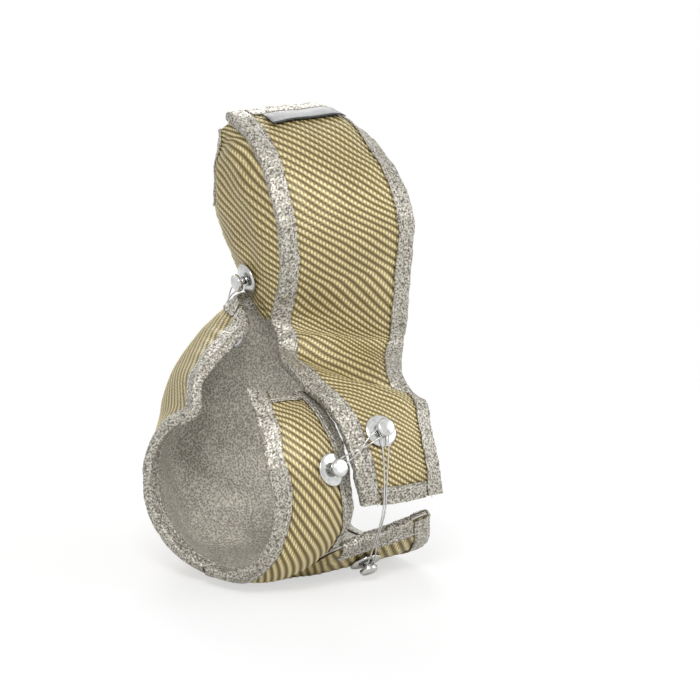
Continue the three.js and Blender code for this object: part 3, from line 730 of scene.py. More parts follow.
def lining_material():
    """Grey silica cloth faced with knitted wire: dull, with fine irregular cells"""
    material, tree, shader = new_material("wire_faced_lining", Roughness=0.6, Metallic=0.25)
    where = node(tree, "ShaderNodeTexCoord").outputs["Object"]
    cells = node(tree, "ShaderNodeTexVoronoi", {"Vector": where}, Scale=900.0).outputs["Distance"]
    colour = ramp(tree, cells, ((0.0, "#5f5b52"), (0.3, "#8c887d"), (0.6, "#b3afa4"), (1.0, "#cfcbc1")))
    colour = mix(tree, 0.3, colour, object_noise(tree, 60), "OVERLAY")
    tree.links.new(colour, shader.inputs["Base Color"])
    bump(tree, shader, cells, 0.6, 0.0004)
    return material


def felt_material():
    """Needled silica felt: matt white, with soft tufts"""
    material, tree, shader = new_material("needled_silica_felt", Roughness=0.95)
    tufts = object_noise(tree, 700, 6.0)
    tree.links.new(ramp(tree, tufts, ((0.3, "#d9d5c9"), (0.7, "#f4f2ea"))), shader.inputs["Base Color"])
    bump(tree, shader, tufts, 0.6, 0.0006)
    return material


def thread_material():
    """Steel-cored sewing thread: pale, with a slight glint along each stitch"""
    material, tree, shader = new_material("steel_cored_thread", Roughness=0.4, Metallic=0.4)
    colour = ramp(tree, object_noise(tree, 900), ((0.3, "#a8a498"), (0.7, "#efede6")))
    tree.links.new(colour, shader.inputs["Base Color"])
    return material


def steel_material(name, roughness):
    """Stainless steel, pressed or drawn: bright, with faint rubbing marks"""
    material, tree, shader = new_material(name, Metallic=1.0, Roughness=roughness)
    marks = object_noise(tree, 300, 5.0)
    tree.links.new(ramp(tree, marks, ((0.3, "#b6b6b6"), (0.7, "#dcdcda"))), shader.inputs["Base Color"])
    bump(tree, shader, marks, 0.06, 0.0002)
    return material


def label_material():
    """Black woven satin ribbon: a soft sheen, with fine ribs across it"""
    material, tree, shader = new_material("black_woven_ribbon", Roughness=0.32)
    uv = node(tree, "ShaderNodeUVMap", uv_map="cloth").outputs["UV"]
    wave = node(tree, "ShaderNodeTexWave", {"Vector": uv}, bands_direction="X", Scale=330.0, Distortion=0.4)
    ribs = wave.outputs["Fac"]
    tree.links.new(ramp(tree, ribs, ((0.0, "#141415"), (1.0, "#2c2c2f"))), shader.inputs["Base Color"])
    bump(tree, shader, ribs, 0.5, 0.0002)
    return material


def finish(name, make, *values):
    """The material of that name, made the first time it is asked for"""
    return bpy.data.materials.get(name) or make(*values)


def twill(s, t, pitches, way):
    """Height of a twill, whether its warp is on top and its ribs' share, at places in millimetres"""
    a, b = s / pitches[0], t / pitches[1]
    rib = 0.5 + 0.5 * np.cos(2 * np.pi * (b - way * (a - 0.5) - 1) / TWILL)
    i, j = np.floor(a), np.floor(b)
    warp_wave = np.cos(2 * np.pi * ((b - way * i) % TWILL - 1) / TWILL)
    weft_centre = way * (j - 2) + 0.5
    weft_wave = np.cos(2 * np.pi * ((a - weft_centre) % TWILL) / TWILL)
    warp = YARN_WAVE * warp_wave + YARN_HEIGHT * np.cos(np.pi * (a - i - 0.5))
    weft = YARN_WAVE * weft_wave + YARN_HEIGHT * np.cos(np.pi * (b - j - 0.5))
    return np.maximum(warp, weft) + RIB_HEIGHT * rib, (warp > weft).astype(float), rib


# Yarn pitches across and along each panel, mesh steps to a pitch, and which way the ribs lean
WEAVES = {
    "cover": ((1.64, 1.35), 3, 3, 1),
    "left_cheek": ((1.5, 1.5), 2, 3, 1),
    "right_cheek": ((1.5, 1.5), 2, 3, 1),
    "back_wall": ((1.5, 1.5), 2, 3, 1),
    "outlet_panel": ((1.25, 1.9), 3, 3, 1),
    "belly_panel": ((1.35, 2.1), 2, 3, 1),
}


def make_cloth(name, panel):
    """The woven face: real yarns on its outer side, a plain inner side and a closed rim"""
    pitches, per_s, per_t, way = WEAVES[name]
    coarse = surface(panel, CLOTH_GRID, 0.0)
    under = surface(panel, CLOTH_GRID, FACE)
    widths = np.linalg.norm(np.diff(coarse, axis=1), axis=2).sum(axis=1)
    length = np.linalg.norm(np.diff(coarse[:, coarse.shape[1] // 2], axis=0), axis=1).sum()
    step_s, step_t = pitches[0] / per_s, pitches[1] / per_t
    columns = 2 * int(widths.max() / 2 / step_s) + 1
    rows = int(length / step_t) + 1
    v = np.arange(rows) * step_t / length
    v[-1] = 1
    fine = resample(coarse, v, 0)
    half = resample(widths, v, 0) / 2
    margin = TAPE_WIDTH - UNDER_TAPE
    k = (np.arange(columns) - columns // 2) * step_s
    reach = k[-1]
    knots = np.stack([np.full(rows, -reach), -(half - margin), half - margin, np.full(rows, reach)], axis=1)
    places = np.stack([-half, -(half - margin), half - margin, half], axis=1)
    s = np.stack([np.interp(k, x, y) for x, y in zip(knots, places)])
    u = (s / half[:, None] + 1) / 2
    top = resample_rows(fine, u)
    t = np.repeat((v * length)[:, None], columns, axis=1)
    height, warp, rib = twill(s, t, pitches, way)
    low, high = -YARN_WAVE, YARN_WAVE + YARN_HEIGHT + RIB_HEIGHT
    top = top + grid_normals(top, panel.out) * (height - high + YARN_STAND)[..., None]
    top[..., 2] = np.maximum(top[..., 2], TABLE_TOP)
    few = UNDER_COLUMNS
    bottom = resample(resample(under, v, 0), np.linspace(0, 1, few), 1)
    offset = rows * columns
    faces = [tuple(f) for f in quads_of(rows, columns)]
    faces += [tuple(f[::-1]) for f in quads_of(rows, few, offset)]
    for column, other, flip in ((0, 0, False), (columns - 1, few - 1, True)):
        for r in range(rows - 1):
            a, b = r * columns + column, (r + 1) * columns + column
            c, d = offset + (r + 1) * few + other, offset + r * few + other
            faces.append((a, b, c, d) if not flip else (d, c, b, a))
    for r, flip in ((0, True), (rows - 1, False)):
        fine_row = [r * columns + c for c in range(columns)]
        coarse_row = [offset + r * few + c for c in range(few)]
        faces += [f if not flip else f[::-1] for f in zip_rows(fine_row, coarse_row)]
    # The plain inner side reads as height 0 and rib 0, so it takes the darkest painted shade of the gaps
    inner = np.zeros(rows * few)
    attributes = {
        "yarn_height": np.concatenate([np.clip((height - low) / (high - low), 0, 1).ravel(), inner]),
        "rib": np.concatenate([rib.ravel(), inner]),
        "warp": np.concatenate([warp.ravel(), inner]),
    }
    uv = np.concatenate([np.stack([s, t], axis=-1).reshape(-1, 2), np.zeros((rows * few, 2))])
    points = np.concatenate([top.reshape(-1, 3), bottom.reshape(-1, 3)])
    cloth = finish("mineral_fibre_twill", woven_material)
    obj = make_object(f"{name}_cloth", points, faces, cloth, attributes, uv)
    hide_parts(f"{name}_face")
    return obj


def layer_faces(rows, columns):
    """Faces of a closed layer: an upper grid, a lower grid turned over, and the rim between them"""
    offset = rows * columns
    faces = [tuple(f) for f in quads_of(rows, columns)]
    faces += [tuple(f[::-1]) for f in quads_of(rows, columns, offset)]
    rim = list(range(columns))
    rim += [r * columns + columns - 1 for r in range(1, rows)]
    rim += [(rows - 1) * columns + c for c in range(columns - 2, -1, -1)]
    rim += [r * columns for r in range(rows - 2, 0, -1)]
    faces += [(b, a, a + offset, b + offset) for a, b in zip(rim, rim[1:] + rim[:1])]
    return faces


def slab(panel, step, top, bottom):
    """Points and faces of a closed layer between two depths"""
    upper, lower = surface(panel, step, top), surface(panel, step, bottom)
    return np.concatenate([upper.reshape(-1, 3), lower.reshape(-1, 3)]), layer_faces(*upper.shape[:2])


def flat_size(panel):
    """Width, length and area of a panel before it was sewn, in metres"""
    grid = surface(panel, FLAT_GRID, FACE)
    width = np.linalg.norm(np.diff(grid, axis=1), axis=2).sum(axis=1).max() * MM
    length = np.linalg.norm(np.diff(grid, axis=0), axis=2).sum(axis=0).max() * MM
    a, b = grid[1:, :-1] - grid[:-1, :-1], grid[:-1, 1:] - grid[:-1, :-1]
    area = np.linalg.norm(np.cross(a, b), axis=2).sum() * MM * MM
    return width, length, min(area, width * length)


def knit(x, y, seed):
    """Height of a knitted tape: raised wire round small open holes, on a loose staggered grid"""
    table = np.random.default_rng(seed).uniform(-0.32, 0.32, (2, 64, 64))
    gx, gy = x / LOOP_PITCH, y / (LOOP_PITCH * 0.8)
    best = np.full(np.shape(gx), 9.0)
    for dy in (-1, 0, 1):
        row = np.floor(gy) + dy
        shift = 0.5 * (row % 2)
        for dx in (-1, 0, 1):
            column = np.floor(gx - shift) + dx
            i, j = column.astype(int) % 64, row.astype(int) % 64
            cx = column + shift + 0.5 + table[0][i, j]
            cy = row + 0.5 + table[1][i, j]
            best = np.minimum(best, np.hypot((gx - cx) * 1.25, gy - cy))
    return smooth(best, 0.12, 0.62)


SECTION_STATIONS = 6
INNER_POINTS = 4


def tape_sections(panel, us, vs, past_u, past_v):
    """Rows of outer points (rows, count, 3) round the fold of a tape, and its few inner points"""
    rows = us.shape[1]

    def leg(order, depth_of):
        points = []
        for k in order:
            depth = depth_of(stack_of(panel.core(us[k], vs[k])))
            past = TAPE_REACH if k == SECTION_STATIONS - 1 else 0.0
            points.append(panel.place(us[k], vs[k], depth, past_u * past, past_v * past))
        return points

    forwards = range(SECTION_STATIONS)
    outer = leg(forwards, lambda stack: -TAPE_REACH)
    outer += leg(reversed(forwards), lambda stack: stack + TAPE_REACH)
    outer = np.stack(outer, axis=1)
    spans = np.linalg.norm(np.diff(outer, axis=1), axis=2)
    distance = np.concatenate([np.zeros((rows, 1)), np.cumsum(spans, axis=1)], axis=1)
    count = int(distance[:, -1].mean() / TAPE_STEP) + 1
    even = np.stack([
        np.stack([np.interp(np.linspace(0, d[-1], count), d, p[:, axis]) for axis in range(3)], axis=1)
        for d, p in zip(distance, outer)
    ])
    for _ in range(TAPE_SMOOTHING):
        even[:, 1:-1] = (even[:, :-2] + 2 * even[:, 1:-1] + even[:, 2:]) / 4
    first, last = (us[0], vs[0]), (us[-1], vs[-1])
    deep = [stack_of(panel.core(*place)) for place in (first, last)]
    inner = [
        panel.place(*first, deep[0] + TAPE_GAP),
        panel.place(*last, deep[1] + TAPE_GAP, past_u * TAPE_GAP, past_v * TAPE_GAP),
        panel.place(*last, -TAPE_GAP, past_u * TAPE_GAP, past_v * TAPE_GAP),
        panel.place(*first, -TAPE_GAP),
    ]
    return even, np.stack(inner, axis=1)


def tape_places_side(panel, side, to=1.0, short_start=0.0, short_end=0.0):
    """Places of a tape along one side: rows of v, and u from the inset to the edge"""
    low, high = short_start / panel.start, to - short_end / panel.end
    rows = int(panel.length * (high - low) / TAPE_STEP)
    v = np.linspace(low, high, rows)
    speed = panel.speed_u(np.full_like(v, side), v)
    inset = np.minimum(TAPE_WIDTH / speed, TAPE_SHARE)
    inset = inset * (1 + TAPE_WAVE * noise(v * panel.length, v * 0, TAPE_WAVE_GRAIN, panel.seed + side))
    share = np.linspace(1, 0, SECTION_STATIONS)[:, None]
    us = np.abs(side - inset * share)
    return us, np.broadcast_to(v, us.shape).copy(), (1.0 if side else -1.0), 0.0


def tape_places_end(panel, end, left_bound, right_bound, from_u=0.0):
    """Places of a tape along one end, short of the side tapes or the seam beside it"""
    v_inset = TAPE_WIDTH / (panel.end if end else panel.start)
    share = np.linspace(1, 0, SECTION_STATIONS)[:, None]
    count = int(panel.speed_u(np.array([0.5]), np.array([float(end)]))[0] / TAPE_STEP)
    w = np.linspace(0, 1, count)
    vs = np.abs(end - v_inset * share) * np.ones((1, count))
    low, high = [], []
    for row in vs:
        v = row[:1]
        left = panel.speed_u(np.zeros(1), v)[0]
        right = panel.speed_u(np.ones(1), v)[0]
        start = (min(TAPE_WIDTH / left, TAPE_SHARE) if left_bound else from_u) + (
            END_CLEARANCE / left if left_bound or from_u else 0
        )
        low.append(start)
        high.append(1 - (min((TAPE_WIDTH + END_CLEARANCE) / right, CORNER_SHARE) if right_bound else 0))
    us = np.array(low)[:, None] + (np.array(high) - np.array(low))[:, None] * w
    return us, vs, 0.0, (1.0 if end else -1.0)


FRONT_FROM = 2 / 3


def tape_plan():
    """Name, panel and places of every tape"""
    p = PANELS
    side, end = tape_places_side, tape_places_end
    return {
        "cover_left": (p["cover"], side(p["cover"], 0)),
        "cover_right": (p["cover"], side(p["cover"], 1)),
        "cover_rear": (p["cover"], end(p["cover"], 0, True, True)),
        "flap_hem": (p["cover"], end(p["cover"], 1, True, True)),
        "left_cheek": (p["left_cheek"], side(p["left_cheek"], 0, to=0.41)),
        "right_cheek": (p["right_cheek"], side(p["right_cheek"], 0, to=0.41)),
        "back_wall": (p["back_wall"], end(p["back_wall"], 0, False, False)),
        "outlet_edge_front": (p["outlet_panel"], side(p["outlet_panel"], 0, short_end=END_CLEARANCE)),
        "outlet_panel_front": (p["outlet_panel"], side(p["outlet_panel"], 1, short_end=END_CLEARANCE)),
        "outlet_panel_top": (p["outlet_panel"], end(p["outlet_panel"], 0, True, True)),
        "outlet_edge_back": (p["belly_panel"], side(p["belly_panel"], 0, short_start=END_CLEARANCE)),
        "belly_shaft_side": (p["belly_panel"], side(p["belly_panel"], 1)),
        "belly_front": (p["belly_panel"], end(p["belly_panel"], 0, False, True, FRONT_FROM)),
        "belly_lap": (p["belly_panel"], end(p["belly_panel"], 1, True, True)),
    }


def make_tape(name, panel, places):
    """A knitted tape folded round an edge, and the lines on its two legs where it is sewn"""
    outer, inner = tape_sections(panel, *places)
    rows, count = outer.shape[:2]
    middle = count // 2
    seed = sum(map(ord, name))
    x = np.arange(count) * TAPE_STEP + np.zeros((rows, 1))
    steps = np.linalg.norm(np.diff(outer[:, middle], axis=0), axis=1)
    y = np.concatenate([[0], np.cumsum(steps)])[:, None] + np.zeros(count)
    height = knit(x, y, seed)
    across = np.gradient(outer, axis=1)
    forward = np.gradient(outer, axis=0)
    out = unit(np.cross(across, forward))
    centre = inner[:, 1:3].mean(axis=1)
    if np.mean(np.sum(out[:, middle] * (outer[:, middle] - centre), axis=1)) < 0:
        out = -out
    bulge = sum(size * noise(x, y, grain, seed + more) for size, grain, more in TAPE_BULGES)
    fade = np.minimum(np.arange(count), np.arange(count)[::-1])[None] / 3
    outer = outer + out * ((LOOP_HEIGHT * (height - LOOP_LEVEL) + bulge) * np.clip(fade, 0.35, 1))[..., None]
    outer[..., 2] = np.maximum(outer[..., 2], TABLE_TOP)
    section = np.concatenate([outer, inner], axis=1)
    total = count + INNER_POINTS
    faces = [tuple(f) for f in quads_of(rows, total, closed=True)]
    faces.append(tuple(range(total))[::-1])
    faces.append(tuple((rows - 1) * total + k for k in range(total)))
    loops = np.concatenate([height, np.full((rows, INNER_POINTS), 0.5)], axis=1).ravel()
    tape = finish("knitted_wire_tape", tape_material)
    obj = make_object(f"{name}_tape", section.reshape(-1, 3), faces, tape, {"loop_height": loops})
    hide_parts(f"{name}_binding")
    inset = int(STITCH_INSET / TAPE_STEP)
    lines = [outer[:, column] + out[:, column] * STITCH_LIFT for column in (inset, count - 1 - inset)]
    for line in lines:
        line[:, 2] = np.maximum(line[:, 2], STITCH_TABLE_TOP)
    return obj, lines


def stitch_tree(material):
    """Lays a thread stitch at even steps along every line of its mesh"""
    tree = bpy.data.node_groups.new("stitches_along_lines", "GeometryNodeTree")
    tree.interface.new_socket("Geometry", in_out="INPUT", socket_type="NodeSocketGeometry")
    tree.interface.new_socket("Geometry", in_out="OUTPUT", socket_type="NodeSocketGeometry")
    for name in ("Spacing", "Stitch Length", "Thread Radius"):
        socket = tree.interface.new_socket(name, in_out="INPUT", socket_type="NodeSocketFloat")
        socket.subtype = "DISTANCE"
    start = tree.nodes.new("NodeGroupInput")
    curve = node(tree, "GeometryNodeMeshToCurve", {"Mesh": start.outputs["Geometry"]})
    even = tree.nodes.new("GeometryNodeResampleCurve")
    even.mode = "LENGTH"
    tree.links.new(curve.outputs["Curve"], even.inputs["Curve"])
    tree.links.new(start.outputs["Spacing"], even.inputs["Length"])
    tangent = tree.nodes.new("GeometryNodeInputTangent")
    turn = node(tree, "FunctionNodeAlignRotationToVector", {"Vector": tangent.outputs["Tangent"]}, axis="Z")
    jitter = node(tree, "FunctionNodeRandomValue", data_type="FLOAT_VECTOR")
    jitter.inputs[0].default_value = (-STITCH_TILT, -STITCH_TILT, 0.0)
    jitter.inputs[1].default_value = (STITCH_TILT, STITCH_TILT, 0.0)
    jitter.inputs["Seed"].default_value = STITCH_SEED
    tilt = node(tree, "FunctionNodeRotateRotation", {"Rotation": turn.outputs["Rotation"]})
    tree.links.new(jitter.outputs[0], tilt.inputs["Rotate By"])
    ball = tree.nodes.new("GeometryNodeMeshUVSphere")
    ball.inputs["Segments"].default_value = 6
    ball.inputs["Rings"].default_value = 4
    ball.inputs["Radius"].default_value = 1.0
    radius, half = start.outputs["Thread Radius"], start.outputs["Stitch Length"]
    size = node(tree, "ShaderNodeCombineXYZ", {"X": radius, "Y": radius, "Z": half})
    stitches = node(
        tree,
        "GeometryNodeInstanceOnPoints",
        {
            "Points": even.outputs["Curve"],
            "Instance": ball.outputs["Mesh"],
            "Rotation": tilt.outputs["Rotation"],
            "Scale": size.outputs["Vector"],
        },
    )
    real = node(tree, "GeometryNodeRealizeInstances", {"Geometry": stitches.outputs["Instances"]})
    coloured = node(tree, "GeometryNodeSetMaterial", {"Geometry": real.outputs["Geometry"]})
    coloured.inputs["Material"].default_value = material
    end = tree.nodes.new("NodeGroupOutput")
    tree.links.new(coloured.outputs["Geometry"], end.inputs["Geometry"])
    return tree


def make_stitches(name, lines, values):
    """One mesh of thread stitches along lines of points in millimetres"""
    points, edges = [], []
    for line in lines:
        base = len(points)
        points += [tuple(p * MM) for p in line]
        edges += [(base + k, base + k + 1) for k in range(len(line) - 1)]
    mesh = bpy.data.meshes.new(f"{name}_lines")
    mesh.from_pydata(points, edges, [])
    carrier = bpy.data.objects.new(f"{name}_lines", mesh)
    bpy.context.scene.collection.objects.link(carrier)
    thread = finish("steel_cored_thread", thread_material)
    modifier = carrier.modifiers.new("stitches", "NODES")
    modifier.node_group = bpy.data.node_groups.get("stitches_along_lines") or stitch_tree(thread)
    for item in modifier.node_group.interface.items_tree:
        if item.name in values:
            modifier[item.identifier] = values[item.name]
    evaluated = carrier.evaluated_get(bpy.context.evaluated_depsgraph_get())
    made = bpy.data.meshes.new_from_object(evaluated)
    bpy.data.objects.remove(carrier)
    made.name = name
    made.shade_smooth()
    if not made.materials:
        made.materials.append(thread)
    obj = bpy.data.objects.new(name, made)
    bpy.context.scene.collection.objects.link(obj)
    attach(obj, "root")
    return obj


LATHE_SIDES = 48


def turned(profile, seat, axis):
    """Points and faces of a profile of (radius, height) turned about an axis, closed on itself"""
    profile = np.array(profile, float)
    helper = np.array([0.0, 0.0, 1.0]) if abs(axis[2]) < 0.9 else np.array([1.0, 0.0, 0.0])
    x = unit(np.cross(axis, helper))
    y = np.cross(axis, x)
    angle = np.linspace(0, 2 * np.pi, LATHE_SIDES, endpoint=False)
    ring = np.cos(angle)[:, None] * x + np.sin(angle)[:, None] * y
    on_axis = profile[:, 0] < 1e-6
    points, rings = [], []
    for (radius, height), single in zip(profile, on_axis):
        base = len(points)
        if single:
            points.append(seat + axis * height)
            rings.append([base] * LATHE_SIDES)
        else:
            points += list(seat + ring * radius + axis * height)
            rings.append(list(range(base, base + LATHE_SIDES)))
    pairs = list(zip(rings, rings[1:]))
    if not on_axis[0]:
        pairs.append((rings[-1], rings[0]))
    faces = []
    for a, b in pairs:
        for k in range(LATHE_SIDES):
            n = (k + 1) % LATHE_SIDES
            face = [a[k], a[n], b[n], b[k]]
            faces.append(tuple(dict.fromkeys(face)))
    return np.array(points), faces


def rounded(profile, radius):
    """Rounds each inner corner of a profile with two points"""
    out = [profile[0]]
    for before, here, after in zip(profile, profile[1:], profile[2:]):
        before, here, after = (np.array(p, float) for p in (before, here, after))
        back, on = before - here, after - here
        cut = min(radius, np.linalg.norm(back) / 2.2, np.linalg.norm(on) / 2.2)
        start, end = here + unit(back) * cut, here + unit(on) * cut
        out += [tuple(start), tuple((start + end) / 4 + here / 2), tuple(end)]
    out.append(profile[-1])
    return out


class Anchor:
    """A capped post through a panel, with a domed washer outside and a flat one inside"""

    def __init__(self, panel, u, v, neck=NECK_LENGTH, inside_lift=INNER_LIFT):
        u, v = np.array([u]), np.array([v])
        self.seat = panel.place(u, v, 0.0, soft=False)[0]
        self.axis = panel.facing(u, v)[0]
        self.inside = -stack_of(panel.core(u, v)[0]) - inside_lift
        self.washer_top = WASHER_LIFT + WASHER_DOME + WASHER_THICKNESS
        self.cap_bottom = self.washer_top + neck

    def winding(self, is_lower):
        below = WIRE_RADIUS + FIT_GAP + (2 * WIRE_RADIUS + FIT_GAP if is_lower else 0)
        return self.seat + self.axis * (self.cap_bottom - below)

    def profiles(self):
        hole = POST_RADIUS + FIT_GAP
        places = np.linspace(hole, WASHER_RADIUS - 0.35, 9)
        bowl = WASHER_DOME * (1 - ((places - hole) / (WASHER_RADIUS - hole)) ** 1.8)
        under = [(r, h + WASHER_LIFT) for r, h in zip(places, bowl)]
        over = [(r, h + WASHER_LIFT + WASHER_THICKNESS) for r, h in zip(places, bowl)][::-1]
        middle = WASHER_LIFT + WASHER_THICKNESS / 2
        within = WASHER_RADIUS - 0.1
        rim = [(within, middle - 0.3), (WASHER_RADIUS, middle), (within, middle + 0.3)]
        cap_top = self.cap_bottom + CAP_HEIGHT
        peen_top = self.inside - INNER_THICKNESS - FIT_GAP
        post = [
            (0, peen_top - PEEN_THICKNESS),
            (PEEN_RADIUS, peen_top - PEEN_THICKNESS),
            (PEEN_RADIUS, peen_top),
            (POST_RADIUS, peen_top),
            (POST_RADIUS, self.cap_bottom),
            (CAP_RADIUS, self.cap_bottom),
            (CAP_RADIUS, cap_top - CAP_BEVEL),
            (CAP_RADIUS - CAP_BEVEL * 0.9, cap_top - 0.1),
            (0, cap_top + 0.12),
        ]
        low, high = self.inside - INNER_THICKNESS, self.inside
        inner = [(hole, low), (INNER_RADIUS, low), (INNER_RADIUS, high), (hole, high)]
        return {"washer": under + rim + over, "post": rounded(post, 0.3), "inner_washer": inner}


def make_anchors():
    belly, cheek = PANELS["belly_panel"], PANELS["left_cheek"]
    return {
        "flap_anchor": Anchor(COVER, 0.35, 0.825),
        "outlet_anchor": Anchor(OUTLET, 0.7, 0.4825, inside_lift=2.4),
        "belly_anchor": Anchor(belly, 0.79, 0.075, neck=1.9),
        "cheek_anchor": Anchor(cheek, 0.36, 0.78),
        "neck_anchor": Anchor(belly, 0.6, 0.8, inside_lift=1.6),
    }


WRAP_RADIUS = POST_RADIUS + FIT_GAP + WIRE_RADIUS
EXIT_RADIUS = CAP_RADIUS + WIRE_RADIUS + 2 * FIT_GAP
EXIT_SPREAD = 2.0


def wire_path(start_anchor, end_anchor, from_lower, way):
    """Points of a wire looped round two necks: way gives (point, spread, rise) between them"""
    start, end = start_anchor.winding(from_lower), end_anchor.winding(False)
    points = way(start, end)
    centres = [start, *[p[0] for p in points], end]

    def about(centre, axis, towards, forward, sideways):
        ahead = square_to(axis, towards)
        return centre + ahead * forward + np.cross(axis, ahead) * sideways

    def wrap(centre, axis, towards, degrees):
        turns = [math.radians(d) for d in degrees]
        places = [(WRAP_RADIUS * math.cos(a), WRAP_RADIUS * math.sin(a)) for a in turns]
        return [about(centre, axis, towards, *place) for place in places]

    def strand(sign):
        out = []
        for i, (at, spread, rise) in enumerate(points):
            run = centres[i + 2] - centres[i]
            share = (i + 1) / (len(points) + 1)
            outward = square_to(run, start_anchor.axis * (1 - share) + end_anchor.axis * share)
            side = unit(np.cross(outward, run))
            out.append(at + side * sign * spread + outward * sign * rise)
        return out

    onward, back = centres[1] - start, centres[-2] - end
    flip = -1 if points[-1][1] < 0 else 1
    leave = [about(start, start_anchor.axis, onward, EXIT_RADIUS, s * EXIT_SPREAD) for s in (1, -1)]
    enter = [about(end, end_anchor.axis, back, EXIT_RADIUS, -s * flip * EXIT_SPREAD) for s in (1, -1)]
    path = wrap(start, start_anchor.axis, onward, (165, 128, 90)) + [leave[0]] + strand(1) + [enter[0]]
    path += wrap(end, end_anchor.axis, back, [d * flip for d in (-90, -135, 180, 135, 90)])
    path += [enter[1]] + strand(-1)[::-1] + [leave[1]]
    path += wrap(start, start_anchor.axis, onward, (-90, -128, -165))
    return np.array(path)


def lifted(a, b, share, lift):
    p = a + (b - a) * share
    return p + unit(np.array([0, p[1], p[2] - SHAFT_Z])) * lift


def tube(path, radius, sides=8, step=0.7):
    """A round wire of even steps along a smooth path, with closed ends"""
    dense = rail_at(path, np.linspace(0, 1, len(path) * 30))
    distance = np.concatenate([[0], np.cumsum(np.linalg.norm(np.diff(dense, axis=0), axis=1))])
    count = int(distance[-1] / step)
    at = np.linspace(0, distance[-1], count)
    line = np.stack([np.interp(at, distance, dense[:, k]) for k in range(3)], axis=1)
    tangent = unit(np.gradient(line, axis=0))
    side = np.zeros_like(line)
    side[0] = square_to(tangent[0], np.array([0.31, 0.2, 0.93]))
    for k in range(1, count):
        side[k] = square_to(tangent[k], side[k - 1])
    other = np.cross(tangent, side)
    angle = np.linspace(0, 2 * np.pi, sides, endpoint=False)
    ring = np.cos(angle)[:, None, None] * side + np.sin(angle)[:, None, None] * other
    points = (line + radius * ring).transpose(1, 0, 2)
    faces = [tuple(f) for f in quads_of(count, sides, closed=True)]
    faces.append(tuple(range(sides))[::-1])
    faces.append(tuple((count - 1) * sides + k for k in range(sides)))
    return points.reshape(-1, 3), faces


class BlanketFinish(bpy.types.PropertyGroup):
    """Finishes that a user would change"""

    cloth_roughness: bpy.props.FloatProperty(
        name="Cloth Roughness", description="How dull the woven yarns are", default=0.4, min=0.05, max=1.0
    )
    steel_roughness: bpy.props.FloatProperty(
        name="Steel Roughness",
        description="How dull the washers and caps are",
        default=0.2,
        min=0.02,
        max=1.0,
    )


class BlanketStitching(bpy.types.PropertyGroup):
    """Sizes of the sewing"""

    spacing: bpy.props.FloatProperty(
        name="Stitch Spacing", description="From one stitch to the next", default=0.0032, unit="LENGTH"
    )
    stitch: bpy.props.FloatProperty(
        name="Half Stitch", description="Half the length of a stitch", default=0.00125, unit="LENGTH"
    )
    thread: bpy.props.FloatProperty(
        name="Thread Radius", description="Half the thickness of the thread", default=0.00028, unit="LENGTH"
    )


class BlanketStage(bpy.types.PropertyGroup):
    """Camera and light"""

    azimuth: bpy.props.FloatProperty(
        name="Azimuth",
        description="Turn of the camera round the blanket",
        default=math.radians(-33),
        subtype="ANGLE",
    )
    elevation: bpy.props.FloatProperty(
        name="Elevation", description="Camera's height angle", default=math.radians(13), subtype="ANGLE"
    )
    distance: bpy.props.FloatProperty(
        name="Distance", description="From the camera to the blanket", default=1.9, unit="LENGTH"
    )
    lens: bpy.props.FloatProperty(
        name="Lens", description="Focal length", default=188.0, subtype="DISTANCE_CAMERA"
    )
    aim: bpy.props.FloatVectorProperty(
        name="Aim",
        description="Point at the middle of the picture",
        default=(0.0386, 0.015, 0.1093),
        subtype="XYZ",
    )
    light: bpy.props.FloatProperty(name="Light", description="Strength of the lamps", default=1.0, min=0.0)
    floor: bpy.props.FloatVectorProperty(
        name="Floor", description="Colour of the floor", default=(0.9, 0.9, 0.9), subtype="COLOR"
    )


